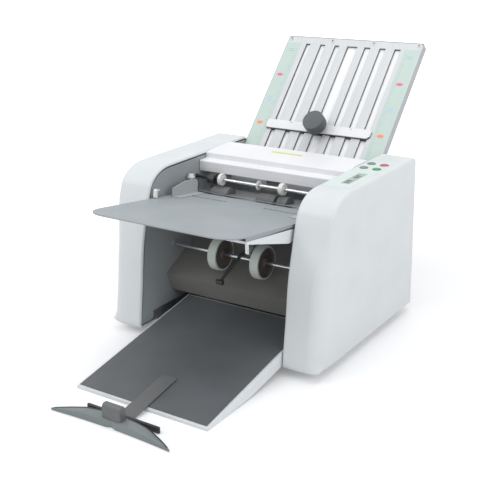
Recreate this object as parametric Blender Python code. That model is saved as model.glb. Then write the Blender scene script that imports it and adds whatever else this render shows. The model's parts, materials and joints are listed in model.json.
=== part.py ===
# Desktop paper folding machine of the buckle-plate kind.
# Metres. X runs to the machine's right (the side with the control panel), Y to the rear, Z up.
# Everything is placed from the covers' front foot (y = 0) and the floor (z = 0), and the whole
# assembly hangs on one empty that brings the middle of its footprint to the origin.

import math

import bmesh
import bpy
from mathutils import Matrix, Vector

# Clearances and stock
GAP = 0.0003
PLAY = 0.001
OVERRUN = 0.004
WALL = 0.003
SHEET = 0.002
ROUND_STEPS = 16

# Side covers
WIDTH = 0.502
COVER_WIDTH = 0.078
COVER_DEPTH = 0.419
COVER_BOTTOM = 0.015
COVER_TOP = 0.344
TOE = 0.005
FRONT_LEAN = 0.052
NOSE_BACK = 0.125
NOSE_DROP = 0.054
REAR_CORNER = 0.010
SIDE_ROUNDING = 0.036
TOP_ROUNDING = 0.007
FADE_START_DROP = 0.159
FADE_END_DROP = 0.059
FOOT_FADE = 0.050
RIM_ROUNDING = 0.005
LEAN_SHARES = ((0.0, 0.0), (0.08, 0.05), (0.30, 0.22), (0.66, 0.48), (0.85, 0.74))
NOSE_STEPS = 7

# Side frames, base pan, feet and tie rods
FRAME_SHEET = 0.003
FRAME_SET_BACK = 0.001
PAN_FRONT = 0.045
PAN_REAR_GAP = 0.012
PAN_FLANGE = 0.016
FOOT_RADIUS = 0.013
FOOT_INSET = 0.054
ROD_RADIUS = 0.005

# Rear cover with its grille
REAR_COVER_DROP = 0.034
VENT_WIDTH = 0.004
VENT_LENGTH = 0.060
VENT_PITCH = 0.010
VENT_COUNT = 9

# Top cover
LIP_BEHIND_FEED = 0.014
LIP_HEIGHT = 0.0235
LIP_DROP = 0.016
STEP_BACK = 0.024
STEP_DROP = 0.004
CROWN_SHARE = 0.313
TOP_COVER_INSET = 0.018
TOP_COVER_SIDE = 0.018
OPEN_SIDE_TILT = math.radians(45)
TOP_PIVOT_SINK = 0.013
TOP_PIVOT_INSET = 0.006
PIVOT_RADIUS = 0.003

# Control panel
PANEL_OVERHANG = 0.0135
PANEL_OUTER_ROOM = 0.017
PANEL_LENGTH = 0.208
PANEL_REAR_ROOM = 0.059
PANEL_SKEW = 0.014
PANEL_SHEET = 0.0028
PANEL_CORNER = 0.006
PANEL_SKIRT = 0.022
PANEL_OPENING_EDGE = 0.012
PANEL_OPENING_SIDE = 0.0015
DISPLAY_WIDTH = 0.032
DISPLAY_LENGTH = 0.070
DISPLAY_BACK = 0.065
BUTTON_RADIUS = 0.0088
BUTTON_PROUD = 0.0028
BUTTON_TRAVEL = 0.002
BUTTON_FLANGE = 0.001
BUTTON_PITCH_X = 0.0285
BUTTON_PITCH_Y = 0.035
BUTTON_OUTER_ROOM = 0.012
BUTTON_BACK = 0.136
BOARD_SHEET = 0.0016
BOARD_DROP = 0.016

# Power inlet and switch on the rear of the right cover
INLET_WIDTH = 0.028
INLET_HEIGHT = 0.022
INLET_DEPTH = 0.024
INLET_FLANGE = 0.004
INLET_HEIGHT_UP = 0.055
INLET_WALL = 0.003
SOCKET_DEPTH = 0.016
SWITCH_UP = 0.032
SWITCH_HEIGHT = 0.019
SWITCH_WIDTH = 0.014
SWITCH_DEPTH = 0.009
SWITCH_CROWN = 0.0015

# Feed table
TABLE_PITCH = math.radians(7.9)
TABLE_LENGTH = 0.341
TABLE_TO_FEED = 0.02624
TABLE_BELOW_FEED = 0.01217
TABLE_SIDE_ROOM = 0.0057
TABLE_SHEET = 0.0025
TABLE_CORNER = 0.046
TABLE_FLANGE = 0.006
SKIRT_FRONT = 0.050
SKIRT_NOSE = 0.005
SKIRT_DEPTH = 0.031
SKIRT_CORNER = 0.030
SKIRT_BOSS = 0.006
SKIRT_BOSS_Y = 0.062
SKIRT_BOSS_DROP = 0.013
SKIRT_BOSS_EDGE = 0.010

# Paper guides
GUIDE_EDGE = 0.018
GUIDE_LENGTH = 0.087
GUIDE_REAR_ROOM = 0.002
GUIDE_CREST_SHARE = 0.48
GUIDE_LOW = 0.018
GUIDE_HIGH = 0.029
GUIDE_SHEET = 0.0025
GUIDE_FLANGE = 0.020
GUIDE_NARROWEST = 0.065
GUIDE_TONGUE = 0.006
GUIDE_SLOT = 0.008

# Lever and knob beside the table
SIDE_PIN_EDGE = 0.006
LEVER_REAR_ROOM = 0.131
LEVER_HEIGHT = 0.019
LEVER_THICKNESS = 0.0055
LEVER_HOOK = 0.008
LEVER_FOOT_STEPS = 6
KNOB_REAR_ROOM = 0.012
KNOB_HEIGHT = 0.039
KNOB_RADIUS = 0.008
KNOB_STEM = 0.0025

# Rollers
SHAFT_RADIUS = 0.004
ROLLER_RADIUS = 0.015
NIP = 0.0004
ROLLER_END = 0.012
ROLLERS_INSET = 0.1093
ROLLERS_DROP = 0.117
UPPER_ROLLER_ANGLE = math.radians(105)
REAR_ROLLER_ANGLE = math.radians(10)
LOWER_ROLLER_ANGLE = math.radians(-90)
FEED_TO_ROLLERS = 0.0937
FEED_RADIUS = 0.019
TYRE_SHARES = ((-0.72, -0.48), (-0.05, 0.19), (0.23, 0.36))
PRESSURE_DROP = 0.0474
PRESSURE_RADIUS = 0.015
PRESSURE_SHAFT_RADIUS = 0.0035
PRESSURE_LEFT_SHARE = -0.6012
PRESSURE_RIGHT_SHARE = 0.2832
PRESSURE_WIDTH = 0.0135
DISC_SHARE = -0.1098
DISC_RADIUS = 0.010
DISC_WIDTH = 0.002
BUSH_WALL = 0.003
BUSH_FLANGE = 0.0015

# Gears, pulleys and belts
GEAR_TEETH = 16
TOOTH_ADDENDUM = 0.0012
TOOTH_DEDENDUM = 0.0017
TOOTH_TIP_SHARE = 0.11
TOOTH_ROOT_SHARE = 0.30
GEAR_WIDTH = 0.008
SIDE_RUN = 0.0015
BELT_WIDTH = 0.006
BELT_SHEET = 0.0016
BELT_LANE = 0.009
MOTOR_PULLEY = 0.009
DRIVEN_PULLEY = 0.016
SMALL_PULLEY = 0.011
LARGE_PULLEY = 0.014
MOTOR_RADIUS = 0.031
MOTOR_LENGTH = 0.095
MOTOR_Y = 0.215
MOTOR_SEAT = 0.006

# Throat plate between the table and the fold rollers
THROAT_LEAD = 0.023
THROAT_TO_ROLLERS = 0.0277
THROAT_RISE = 0.011
THROAT_DROP = 0.026
THROAT_WING = 0.0215
THROAT_WINDOW = 0.005
PAD_WIDTH = 0.044
PAD_LENGTH = 0.010
PAD_HEIGHT = 0.008
PAD_STEM = 0.010
PAD_BACK = 0.015

# Upper fold plate, measured along the plate from its foot line
PLATE_FOOT_INSET = 0.038
PLATE_FOOT_DROP = 0.044
PLATE_TILT = math.radians(46.9)
PLATE_SIDE_GAP = 0.0017
PLATE_TOP = 0.3385
PLATE_TAIL = 0.058
PLATE_FACE = 0.0014
PLATE_CHANNEL = 0.0085
PLATE_RAIL = 0.010
PLATE_CORNER = 0.006
SLOT_TOP_EDGE = 0.0175
SLOT_TAIL = 0.040
SLOT_CENTRE_SHARES = (-0.6657, -0.4390, -0.2209, 0.0116, 0.2355, 0.4564, 0.6715)
SLOT_WIDTH_SHARES = (0.0640, 0.0756, 0.0698, 0.1512, 0.0872, 0.0872, 0.0872)
SCALE_WIDTH = 0.039
SCALE_SHEET = 0.0006
SCALE_BOTTOM = 0.020
SCREW_SHARES = (-0.9419, -0.3023, 0.3140, 0.9593)
SCREW_RADIUS = 0.003
SCREW_HEAD = 0.0018
HANGER_FROM = 0.050
HANGER_TO = 0.020

# Cross stop on the upper fold plate
STOP_LEFT_LAP = 0.005
STOP_RIGHT_ROOM = 0.004
STOP_AT = 0.085
STOP_LENGTH = 0.022
STOP_PROUD = 0.009
FINGER_DEPTH = 0.0085
FINGER_PLAY = 0.0012
GRIP_RADIUS = 0.017
GRIP_HEIGHT = 0.024
GRIP_NECK = 0.006
GRIP_LOBES = 12
GRIP_FLUTE_SHARE = 0.07

# Lower fold plate
LOWER_PLATE_START = 0.024
LOWER_PLATE_LIFT = 0.0231
LOWER_PLATE_CHANNEL = 0.008
LOWER_STOP_SHARE = 0.506
LOWER_STOP_SIZE = 0.005

# Stacker
STACKER_Y = 0.130
STACKER_Z = 0.166
WHEEL_RADIUS = 0.035
WHEEL_WIDTH = 0.020
WHEEL_RIM = 0.004
WHEEL_RECESS = 0.005
WHEEL_HUB = 0.009
WHEEL_LEFT_X = -0.053
WHEEL_RIGHT_X = 0.050
GUIDE_PLATE_SHEET = 0.0015
GUIDE_PLATE_LIP = 0.032
GUIDE_PLATE_FOOT = 0.016
FINGER_FORWARD = 0.022
FINGER_LIFT = 0.024
FINGER_ROD_LIFT = 0.056
FINGER_X = 0.024
BRACKET_WIDTH = 0.009
FINGER_RADIUS = 0.0032
FINGER_KNOB_RADIUS = 0.0052
FINGER_KNOB_LENGTH = 0.016
FINGER_REACH_Y = 0.058
FINGER_DROP = 0.050
FINGER_SWAY = 0.024
PIN_STEPS = 10

# Delivery tray and front stop
TRAY_FRONT = -0.240
TRAY_LIP = 0.008
TRAY_PITCH = math.radians(9.48)
TRAY_LEFT_ROOM = 0.0445
TRAY_RIGHT_ROOM = 0.0015
TRAY_REAR_FORWARD = 0.018
TRAY_KEEL = 0.138
TRAY_KEEL_LIFT = 0.003
TRAY_WALL = 0.0022
MAT_SHEET = 0.0015
MAT_EDGE = 0.004
WING_EDGE = 0.016
WING_FORWARD = 0.086
WING_FRONT_BULGE = 0.006
WING_REAR_BULGE = 0.034
WING_HEIGHT = 0.013
WING_LIFT = 0.0008
WING_TIP_SHARE = 0.35
WING_STEPS = 12
WING_CHAMFER = 0.007
NOTCH_HALF_WIDTH = 0.012
STRAP_WIDTH = 0.034
STRAP_SHEET = 0.002
STRAP_OVER_TRAY = 0.090
BLOCK_WIDTH = 0.042
BLOCK_LENGTH = 0.022
BLOCK_HEIGHT = 0.040
BLOCK_WEB = 0.004

# Places worked out from the sizes above
HALF = WIDTH / 2
INNER = HALF - COVER_WIDTH
FRAME_FACE = INNER + FRAME_SET_BACK
FRAME_BACK = FRAME_FACE + FRAME_SHEET
SPAN = FRAME_FACE - GAP
RIM = RIM_ROUNDING + WALL
PAN_BOTTOM = COVER_BOTTOM + RIM + GAP
PAN_TOP = PAN_BOTTOM + SHEET
ROLLER_PITCH = 2 * ROLLER_RADIUS + NIP
GEAR_START = FRAME_BACK + BUSH_FLANGE + SIDE_RUN
LANE_START = FRAME_BACK + BUSH_FLANGE + SIDE_RUN
MIDDLE_ROLLER_Y = COVER_DEPTH - ROLLERS_INSET
MIDDLE_ROLLER_Z = COVER_TOP - ROLLERS_DROP
FEED_Y = MIDDLE_ROLLER_Y - FEED_TO_ROLLERS
PRESSURE_Z = COVER_TOP - PRESSURE_DROP
FEED_Z = PRESSURE_Z - PRESSURE_RADIUS - GAP - FEED_RADIUS
REAR_COVER_TOP = COVER_TOP - REAR_COVER_DROP
LIP_FRONT = FEED_Y + LIP_BEHIND_FEED
LIP_TOP = COVER_TOP - LIP_DROP
LIP_BOTTOM = LIP_TOP - LIP_HEIGHT
STEP_TOP = COVER_TOP - STEP_DROP
TOP_COVER_REAR = COVER_DEPTH - TOP_COVER_INSET
PANEL_WIDTH = COVER_WIDTH + PANEL_OVERHANG - PANEL_OUTER_ROOM
PANEL_FRONT = COVER_DEPTH - PANEL_REAR_ROOM - PANEL_LENGTH
BUTTON_INSET = PANEL_WIDTH - BUTTON_PITCH_X - BUTTON_OUTER_ROOM
TABLE_HALF_WIDTH = SPAN - TABLE_SIDE_ROOM
TABLE_FRONT = FEED_Y - TABLE_TO_FEED - TABLE_LENGTH * math.cos(TABLE_PITCH)
TABLE_HEIGHT = FEED_Z + FEED_RADIUS - TABLE_BELOW_FEED + TABLE_LENGTH * math.sin(TABLE_PITCH)
GUIDE_SPAN = TABLE_HALF_WIDTH - GUIDE_EDGE
GUIDE_REAR = TABLE_LENGTH - GUIDE_REAR_ROOM
GUIDE_FRONT = GUIDE_REAR - GUIDE_LENGTH
GUIDE_TRAVEL = GUIDE_SPAN - GUIDE_NARROWEST
SIDE_PIN_X = TABLE_HALF_WIDTH - SIDE_PIN_EDGE
LEVER_BACK = TABLE_LENGTH - LEVER_REAR_ROOM
KNOB_BACK = TABLE_LENGTH - KNOB_REAR_ROOM
PRESSURE_LEFT_X = PRESSURE_LEFT_SHARE * INNER
PRESSURE_RIGHT_X = PRESSURE_RIGHT_SHARE * INNER
DISC_X = DISC_SHARE * INNER
THROAT_START = FEED_Y - THROAT_LEAD
THROAT_END = MIDDLE_ROLLER_Y - THROAT_TO_ROLLERS
PLATE_FOOT_Y = COVER_DEPTH - PLATE_FOOT_INSET
PLATE_FOOT_Z = COVER_TOP - PLATE_FOOT_DROP
PLATE_HALF_WIDTH = SPAN - PLATE_SIDE_GAP
SLOT_TOP = PLATE_TOP - SLOT_TOP_EDGE
SLOT_CENTRES = [share * PLATE_HALF_WIDTH for share in SLOT_CENTRE_SHARES]
SLOT_WIDTHS = [share * PLATE_HALF_WIDTH for share in SLOT_WIDTH_SHARES]
SCREW_CENTRES = [share * PLATE_HALF_WIDTH for share in SCREW_SHARES]
SCALE_INNER = PLATE_HALF_WIDTH - SCALE_WIDTH
STOP_LEFT = -SCALE_INNER - STOP_LEFT_LAP
STOP_RIGHT = SCALE_INNER - STOP_RIGHT_ROOM
GUIDE_PLATE_LIP_Y = STACKER_Y - GUIDE_PLATE_LIP
GUIDE_PLATE_FOOT_Y = STACKER_Y - GUIDE_PLATE_FOOT
FINGER_PIVOT_Y = STACKER_Y - FINGER_FORWARD
FINGER_PIVOT_Z = STACKER_Z + FINGER_LIFT
FINGER_ROD_Z = FINGER_PIVOT_Z + FINGER_ROD_LIFT
TRAY_LEFT = TRAY_LEFT_ROOM - INNER
TRAY_RIGHT = INNER - TRAY_RIGHT_ROOM
TRAY_REAR = STACKER_Y - TRAY_REAR_FORWARD
WING_CENTRE_X = (TRAY_LEFT + TRAY_RIGHT) / 2 + PLAY
WING_HALF_WIDTH = (TRAY_RIGHT - TRAY_LEFT) / 2 - WING_EDGE
WING_TIP_Y = TRAY_FRONT - WING_FORWARD
STRAP_END = TRAY_FRONT + STRAP_OVER_TRAY
PANEL_INNER = INNER - PANEL_OVERHANG
PANEL_BASE = COVER_TOP + GAP
PANEL_FACE = PANEL_BASE + PANEL_SHEET
PLATE_DEPTH = 2 * PLATE_FACE + PLATE_CHANNEL
INLET_X = (INNER + HALF) / 2
TOP_PIVOT_Y = TOP_COVER_REAR - TOP_PIVOT_INSET
TOP_PIVOT_Z = COVER_TOP - TOP_PIVOT_SINK
MOTOR_Z = PAN_TOP + MOTOR_SEAT + MOTOR_RADIUS

for stray in list(bpy.data.objects):
    bpy.data.objects.remove(stray, do_unlink=True)

machine = bpy.data.objects.new("machine", None)
bpy.context.scene.collection.objects.link(machine)


# Materials

def finish(name, colour, roughness, metallic=0.0):
    material = bpy.data.materials.new(name)
    material.use_nodes = True
    shader = material.node_tree.nodes["Principled BSDF"]
    shader.inputs["Base Color"].default_value = (*colour, 1.0)
    shader.inputs["Roughness"].default_value = roughness
    shader.inputs["Metallic"].default_value = metallic
    material.diffuse_color = (*colour, 1.0)
    return material


WHITE_ABS = finish("white_abs", (0.80, 0.80, 0.84), 0.45)
GREY_ABS = finish("light_grey_abs", (0.66, 0.69, 0.70), 0.45)
DARK_ABS = finish("dark_grey_abs", (0.10, 0.11, 0.12), 0.5)
STOP_GREY = finish("mid_grey_abs", (0.21, 0.23, 0.24), 0.4)
MINT = finish("mint_panel_film", (0.61, 0.76, 0.70), 0.4)
FRAME_PAINT = finish("dark_frame_paint", (0.13, 0.14, 0.15), 0.5, 0.1)
PLATE_PAINT = finish("white_plate_paint", (0.78, 0.79, 0.80), 0.35, 0.1)
STEEL = finish("bright_steel", (0.62, 0.62, 0.63), 0.22, 1.0)
ZINC = finish("zinc_plated_steel", (0.45, 0.46, 0.48), 0.4, 1.0)
RUBBER = finish("roller_rubber", (0.05, 0.05, 0.05), 0.7)
TYRE = finish("pale_wheel_rubber", (0.62, 0.66, 0.62), 0.6)
ACETAL = finish("white_acetal", (0.78, 0.78, 0.77), 0.35)
RED = finish("red_key", (0.55, 0.09, 0.14), 0.4)
GREEN = finish("green_key", (0.03, 0.25, 0.13), 0.4)
KEY_GREY = finish("grey_key", (0.20, 0.25, 0.23), 0.4)
SCREEN = finish("display_lens", (0.22, 0.26, 0.24), 0.15)
BOARD_GREEN = finish("circuit_board", (0.03, 0.16, 0.07), 0.5)


# Outlines in a plane

def circle(centre, radius, steps=ROUND_STEPS, turn=0.0):
    angles = [turn + math.tau * step / steps for step in range(steps)]
    return [(centre[0] + radius * math.cos(a), centre[1] + radius * math.sin(a)) for a in angles]


def rectangle(low, high):
    return [(low[0], low[1]), (high[0], low[1]), (high[0], high[1]), (low[0], high[1])]


def rounded(corners, radii, steps=4):
    """The polygon with a fillet of its own radius at each corner."""
    outline = []
    for index, (corner, radius) in enumerate(zip(corners, radii)):
        here = Vector(corner)
        back = (Vector(corners[index - 1]) - here).normalized()
        ahead = (Vector(corners[(index + 1) % len(corners)]) - here).normalized()
        if not radius:
            outline.append(tuple(here))
            continue
        half_angle = back.angle(ahead) / 2
        middle = here + (back + ahead).normalized() * (radius / math.sin(half_angle))
        first = here + back * (radius / math.tan(half_angle)) - middle
        last = here + ahead * (radius / math.tan(half_angle)) - middle
        for step in range(steps + 1):
            spoke = first.slerp(last, step / steps).normalized()
            outline.append(tuple(middle + spoke * radius))
    return outline


def inset(outline, depths):
    """Each point of a closed outline moved to its left by its own depth, mitred."""
    moved = []
    for index, point in enumerate(outline):
        here = Vector(point)
        before = (here - Vector(outline[index - 1])).normalized()
        after = (Vector(outline[(index + 1) % len(outline)]) - here).normalized()
        left_before = Vector((-before.y, before.x))
        left_after = Vector((-after.y, after.x))
        mitre = (left_before + left_after) / (1 + left_before.dot(left_after))
        moved.append(tuple(here + mitre * depths[index]))
    return moved


def belt_path(first, first_radius, second, second_radius, steps=8):
    """The line of a belt laid tight round two pulleys."""
    start = Vector(first)
    across = Vector(second) - start
    heading = math.atan2(across.y, across.x)
    lean = math.acos((first_radius - second_radius) / across.length)
    path = []
    for step in range(steps + 1):
        angle = heading + lean + (math.tau - 2 * lean) * step / steps
        path.append((first[0] + first_radius * math.cos(angle), first[1] + first_radius * math.sin(angle)))
    for step in range(steps + 1):
        angle = heading - lean + 2 * lean * step / steps
        reach = Vector((math.cos(angle), math.sin(angle))) * second_radius
        path.append((second[0] + reach.x, second[1] + reach.y))
    return path


def gear_outline(centre, phase):
    """Straight-flanked teeth on the pitch circle of the fold rollers."""
    pitch_radius = ROLLER_PITCH / 2
    tooth = math.tau / GEAR_TEETH
    outline = []
    for index in range(GEAR_TEETH):
        middle = phase + index * tooth
        for share, radius in (
            (-TOOTH_ROOT_SHARE, pitch_radius - TOOTH_DEDENDUM),
            (-TOOTH_TIP_SHARE, pitch_radius + TOOTH_ADDENDUM),
            (TOOTH_TIP_SHARE, pitch_radius + TOOTH_ADDENDUM),
            (TOOTH_ROOT_SHARE, pitch_radius - TOOTH_DEDENDUM),
        ):
            angle = middle + share * tooth
            outline.append((centre[0] + radius * math.cos(angle), centre[1] + radius * math.sin(angle)))
    return outline


# Solids as bmeshes

AXES = {"X": Vector((1, 0, 0)), "Y": Vector((0, 1, 0)), "Z": Vector((0, 0, 1))}


def in_space(axis, pair, distance):
    first, second = pair
    if axis == "X":
        return Vector((distance, first, second))
    if axis == "Y":
        return Vector((first, distance, second))
    return Vector((first, second, distance))


def plate(axis, start, end, outline, holes=()):
    """A flat outline with holes, extruded along an axis from start to end."""
    solid = bmesh.new()
    for ring in (outline, *holes):
        points = [solid.verts.new(in_space(axis, pair, start)) for pair in ring]
        for index, point in enumerate(points):
            solid.edges.new((points[index - 1], point))
    bmesh.ops.triangle_fill(solid, use_beauty=True, edges=solid.edges[:])
    moved = bmesh.ops.extrude_face_region(solid, geom=solid.faces[:])
    far_points = [item for item in moved["geom"] if isinstance(item, bmesh.types.BMVert)]
    bmesh.ops.translate(solid, verts=far_points, vec=AXES[axis] * (end - start))
    bmesh.ops.recalc_face_normals(solid, faces=solid.faces[:])
    return solid


def block(low, high):
    return plate("Z", low[2], high[2], rectangle(low[:2], high[:2]))


def turned(profile, axis="Z", centre=(0.0, 0.0), steps=ROUND_STEPS):
    """A closed profile of (radius, distance along the axis), spun round the axis."""
    solid = bmesh.new()
    points = [solid.verts.new((radius, 0, distance)) for radius, distance in profile]
    for first, second in zip(points, points[1:]):
        solid.edges.new((first, second))
    if profile[0][0] and profile[-1][0]:
        solid.edges.new((points[-1], points[0]))
    bmesh.ops.spin(
        solid, geom=solid.verts[:] + solid.edges[:], axis=AXES["Z"], cent=Vector(),
        angle=math.tau, steps=steps, use_merge=True,
    )
    bmesh.ops.remove_doubles(solid, verts=solid.verts[:], dist=GAP / 100)
    bmesh.ops.recalc_face_normals(solid, faces=solid.faces[:])
    if axis == "X":
        solid.transform(Matrix.Rotation(math.pi / 2, 4, "Y"))
    if axis == "Y":
        solid.transform(Matrix.Rotation(-math.pi / 2, 4, "X"))
    solid.transform(Matrix.Translation(in_space(axis, centre, 0)))
    return solid


def joined(*solids):
    """Several solids in one mesh, still as separate bodies."""
    together = bmesh.new()
    for solid in solids:
        carrier = bpy.data.meshes.new("carrier")
        solid.to_mesh(carrier)
        solid.free()
        together.from_mesh(carrier)
        bpy.data.meshes.remove(carrier)
    return together


def lofted(*rings):
    """Closed loops of equal count joined in turn, with both ends filled."""
    solid = bmesh.new()
    loops = [[solid.verts.new(point) for point in ring] for ring in rings]
    for near, far in zip(loops, loops[1:]):
        for index in range(len(near)):
            solid.faces.new((near[index - 1], near[index], far[index], far[index - 1]))
    solid.faces.new(loops[0])
    solid.faces.new(loops[-1])
    bmesh.ops.recalc_face_normals(solid, faces=solid.faces[:])
    return solid


# Objects

def frame_at(name, place, turn=(0.0, 0.0, 0.0), parent=machine):
    empty = bpy.data.objects.new(name, None)
    bpy.context.scene.collection.objects.link(empty)
    empty.parent = parent
    empty.location = place
    empty.rotation_euler = turn
    return empty


def piece(name, solid, material, place=(0.0, 0.0, 0.0), parent=machine, smooth=False):
    """One sub-part: the solid is drawn round the object's own origin, which is put at place."""
    mesh = bpy.data.meshes.new(name)
    solid.to_mesh(mesh)
    solid.free()
    mesh.materials.append(material)
    made = bpy.data.objects.new(name, mesh)
    bpy.context.scene.collection.objects.link(made)
    made.parent = parent
    made.location = place
    if smooth:
        mesh.shade_smooth()
        mesh.set_sharp_from_angle(angle=math.radians(35))
    return made


def cut(body, name, solid):
    """Takes the cutter's solid, drawn in the same parent's space, out of the body."""
    mesh = bpy.data.meshes.new(name)
    solid.to_mesh(mesh)
    solid.free()
    cutter = bpy.data.objects.new(name, mesh)
    bpy.context.scene.collection.objects.link(cutter)
    cutter.parent = body.parent
    cutter.hide_render = True
    cutter.display_type = "WIRE"
    modifier = body.modifiers.new(name, "BOOLEAN")
    modifier.operation = "DIFFERENCE"
    modifier.object = cutter
    return cutter


def unite(body, name, solid):
    """Fuses a solid drawn round the body's own origin with the body."""
    helper = cut(body, name, solid)
    helper.location = body.location
    body.modifiers[name].operation = "UNION"


# Side covers: a section lofted round the side outline, its rounding fading out towards the nose

def faded(value, start, end):
    share = min(max((value - start) / (end - start), 0.0), 1.0)
    return share * share * (3 - 2 * share)


def cover_stations():
    """(y, z, width of the outer rounding, depth of the outer rounding) round the outline."""
    stations = []
    foot = COVER_BOTTOM + TOE
    nose_start = COVER_TOP - NOSE_DROP
    fade = TOP_ROUNDING - SIDE_ROUNDING
    stations.append((TOE, COVER_BOTTOM, SIDE_ROUNDING, SIDE_ROUNDING / 3))
    for rise_share, lean_share in LEAN_SHARES:
        z = foot + rise_share * (nose_start - foot)
        width = SIDE_ROUNDING + fade * faded(z, COVER_TOP - FADE_START_DROP, COVER_TOP - FADE_END_DROP)
        depth = width * (1 + 2 * faded(z, COVER_BOTTOM, COVER_BOTTOM + FOOT_FADE)) / 3
        least_depth = SIDE_ROUNDING / 2 if z < nose_start / 2 else 0
        stations.append((lean_share * FRONT_LEAN, z, width, max(depth, least_depth)))
    for step in range(NOSE_STEPS + 1):
        angle = math.pi / 2 * step / NOSE_STEPS
        y = NOSE_BACK - (NOSE_BACK - FRONT_LEAN) * math.cos(angle)
        z = nose_start + NOSE_DROP * math.sin(angle)
        stations.append((y, z, TOP_ROUNDING, TOP_ROUNDING))
    for step in range(4):
        angle = math.pi / 2 * (1 - step / 3)
        y = COVER_DEPTH - REAR_CORNER * (1 - math.cos(angle))
        z = COVER_TOP - REAR_CORNER * (1 - math.sin(angle))
        stations.append((y, z, TOP_ROUNDING, TOP_ROUNDING))
    stations.append((COVER_DEPTH, COVER_BOTTOM, TOP_ROUNDING, TOP_ROUNDING))
    stations.append((SIDE_ROUNDING * 2, COVER_BOTTOM, TOP_ROUNDING, TOP_ROUNDING))
    return stations


def cover_outline():
    return [(y, z) for y, z, _, _ in cover_stations()]


def inward(outline, depth):
    """The cover's outline runs clockwise seen from the right, so inwards is to its right."""
    return inset(outline, [-depth] * len(outline))


def side_cover(name, side):
    stations = cover_stations()
    outline = [(y, z) for y, z, _, _ in stations]
    rim_line = inward(outline, RIM_ROUNDING)
    side_line = inset(outline, [-depth for _, _, _, depth in stations])
    shell = bmesh.new()
    rings = []
    for step in range(3):
        angle = math.pi / 2 * (1 - step / 2)
        x = INNER + RIM_ROUNDING * (1 - math.sin(angle))
        ring = []
        for point, target in zip(outline, rim_line):
            place = Vector(point).lerp(Vector(target), 1 - math.cos(angle))
            ring.append(shell.verts.new((side * x, place.x, place.y)))
        rings.append(ring)
    for step in range(6):
        angle = math.pi / 2 * step / 5
        ring = []
        for (y, z, width, _), target in zip(stations, side_line):
            place = Vector((y, z)).lerp(Vector(target), 1 - math.cos(angle))
            x = HALF - width * (1 - math.sin(angle))
            ring.append(shell.verts.new((side * x, place.x, place.y)))
        rings.append(ring)
    for near, far in zip(rings, rings[1:]):
        for index in range(len(near)):
            shell.faces.new((near[index - 1], near[index], far[index], far[index - 1]))
    cap = shell.faces.new(rings[-1])
    bmesh.ops.recalc_face_normals(shell, faces=shell.faces[:])
    cap.normal_update()
    if cap.normal.x * side < 0:
        bmesh.ops.reverse_faces(shell, faces=shell.faces[:])
    cover = piece(name, shell, GREY_ABS, smooth=True)
    thick = cover.modifiers.new("wall", "SOLIDIFY")
    thick.thickness = WALL
    thick.offset = -1
    thick.use_even_offset = True
    return cover


left_cover = side_cover("left_cover", -1)
right_cover = side_cover("right_cover", 1)


# Shafts and where they run through the side frames

def around_middle(angle):
    return (
        MIDDLE_ROLLER_Y + ROLLER_PITCH * math.cos(angle),
        MIDDLE_ROLLER_Z + ROLLER_PITCH * math.sin(angle),
    )


MIDDLE = (MIDDLE_ROLLER_Y, MIDDLE_ROLLER_Z)
UPPER = around_middle(UPPER_ROLLER_ANGLE)
REAR = around_middle(REAR_ROLLER_ANGLE)
LOWER = around_middle(LOWER_ROLLER_ANGLE)
FEED = (FEED_Y, FEED_Z)
PRESSURE = (FEED_Y, PRESSURE_Z)
STACKER = (STACKER_Y, STACKER_Z)
MOTOR = (MOTOR_Y, MOTOR_Z)
BUSHED = (MIDDLE, UPPER, REAR, LOWER, FEED, PRESSURE, STACKER)
BUSH_STEPS = 8
BUSH_BORE = (SHAFT_RADIUS + GAP) / math.cos(math.pi / BUSH_STEPS)
BUSH_RADIUS = BUSH_BORE + BUSH_WALL


def side_frames():
    outline = inward(cover_outline(), RIM + GAP)
    pivot = circle((TOP_PIVOT_Y, TOP_PIVOT_Z), PIVOT_RADIUS + GAP, BUSH_STEPS)
    motor_hole = circle(MOTOR, SHAFT_RADIUS + PLAY, BUSH_STEPS)
    bush_holes = [circle(centre, BUSH_BORE + BUSH_WALL / 2, BUSH_STEPS) for centre in BUSHED]
    for name, side, holes in (
        ("left_side_frame", -1, [*bush_holes, pivot, motor_hole]),
        ("right_side_frame", 1, [*bush_holes, pivot]),
    ):
        near = min(side * FRAME_FACE, side * FRAME_BACK)
        frame = piece(name, plate("X", near, near + FRAME_SHEET, outline, holes), FRAME_PAINT)
        profile = [
            (BUSH_BORE, side * (SPAN - BUSH_FLANGE)),
            (BUSH_RADIUS + BUSH_FLANGE, side * (SPAN - BUSH_FLANGE)),
            (BUSH_RADIUS + BUSH_FLANGE, side * (FRAME_FACE + PLAY)),
            (BUSH_RADIUS, side * (FRAME_FACE + PLAY)),
            (BUSH_RADIUS, side * (FRAME_BACK + BUSH_FLANGE)),
            (BUSH_BORE, side * (FRAME_BACK + BUSH_FLANGE)),
        ]
        bushes = [turned(profile, "X", centre, BUSH_STEPS) for centre in BUSHED]
        unite(frame, name + "_bushes", joined(*bushes))


def base():
    half = SPAN
    rear = COVER_DEPTH - PAN_REAR_GAP
    section = [
        (-half, PAN_TOP + PAN_FLANGE), (-half, PAN_BOTTOM), (half, PAN_BOTTOM), (half, PAN_TOP + PAN_FLANGE),
        (half - SHEET, PAN_TOP + PAN_FLANGE), (half - SHEET, PAN_TOP),
        (SHEET - half, PAN_TOP), (SHEET - half, PAN_TOP + PAN_FLANGE),
    ]
    piece("base_pan", plate("Y", PAN_FRONT, rear, section), ZINC)
    top = COVER_BOTTOM - GAP
    profile = [(0, top), (FOOT_RADIUS, top), (FOOT_RADIUS, SHEET), (FOOT_RADIUS - SHEET, 0), (0, 0)]
    for side_name, side in (("left", -1), ("right", 1)):
        for end_name, y in (("front", FOOT_INSET), ("rear", COVER_DEPTH - FOOT_INSET)):
            place = (side * (HALF - COVER_WIDTH / 2), y, 0)
            piece(f"{end_name}_{side_name}_foot", turned(profile), RUBBER, place, smooth=True)


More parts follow.
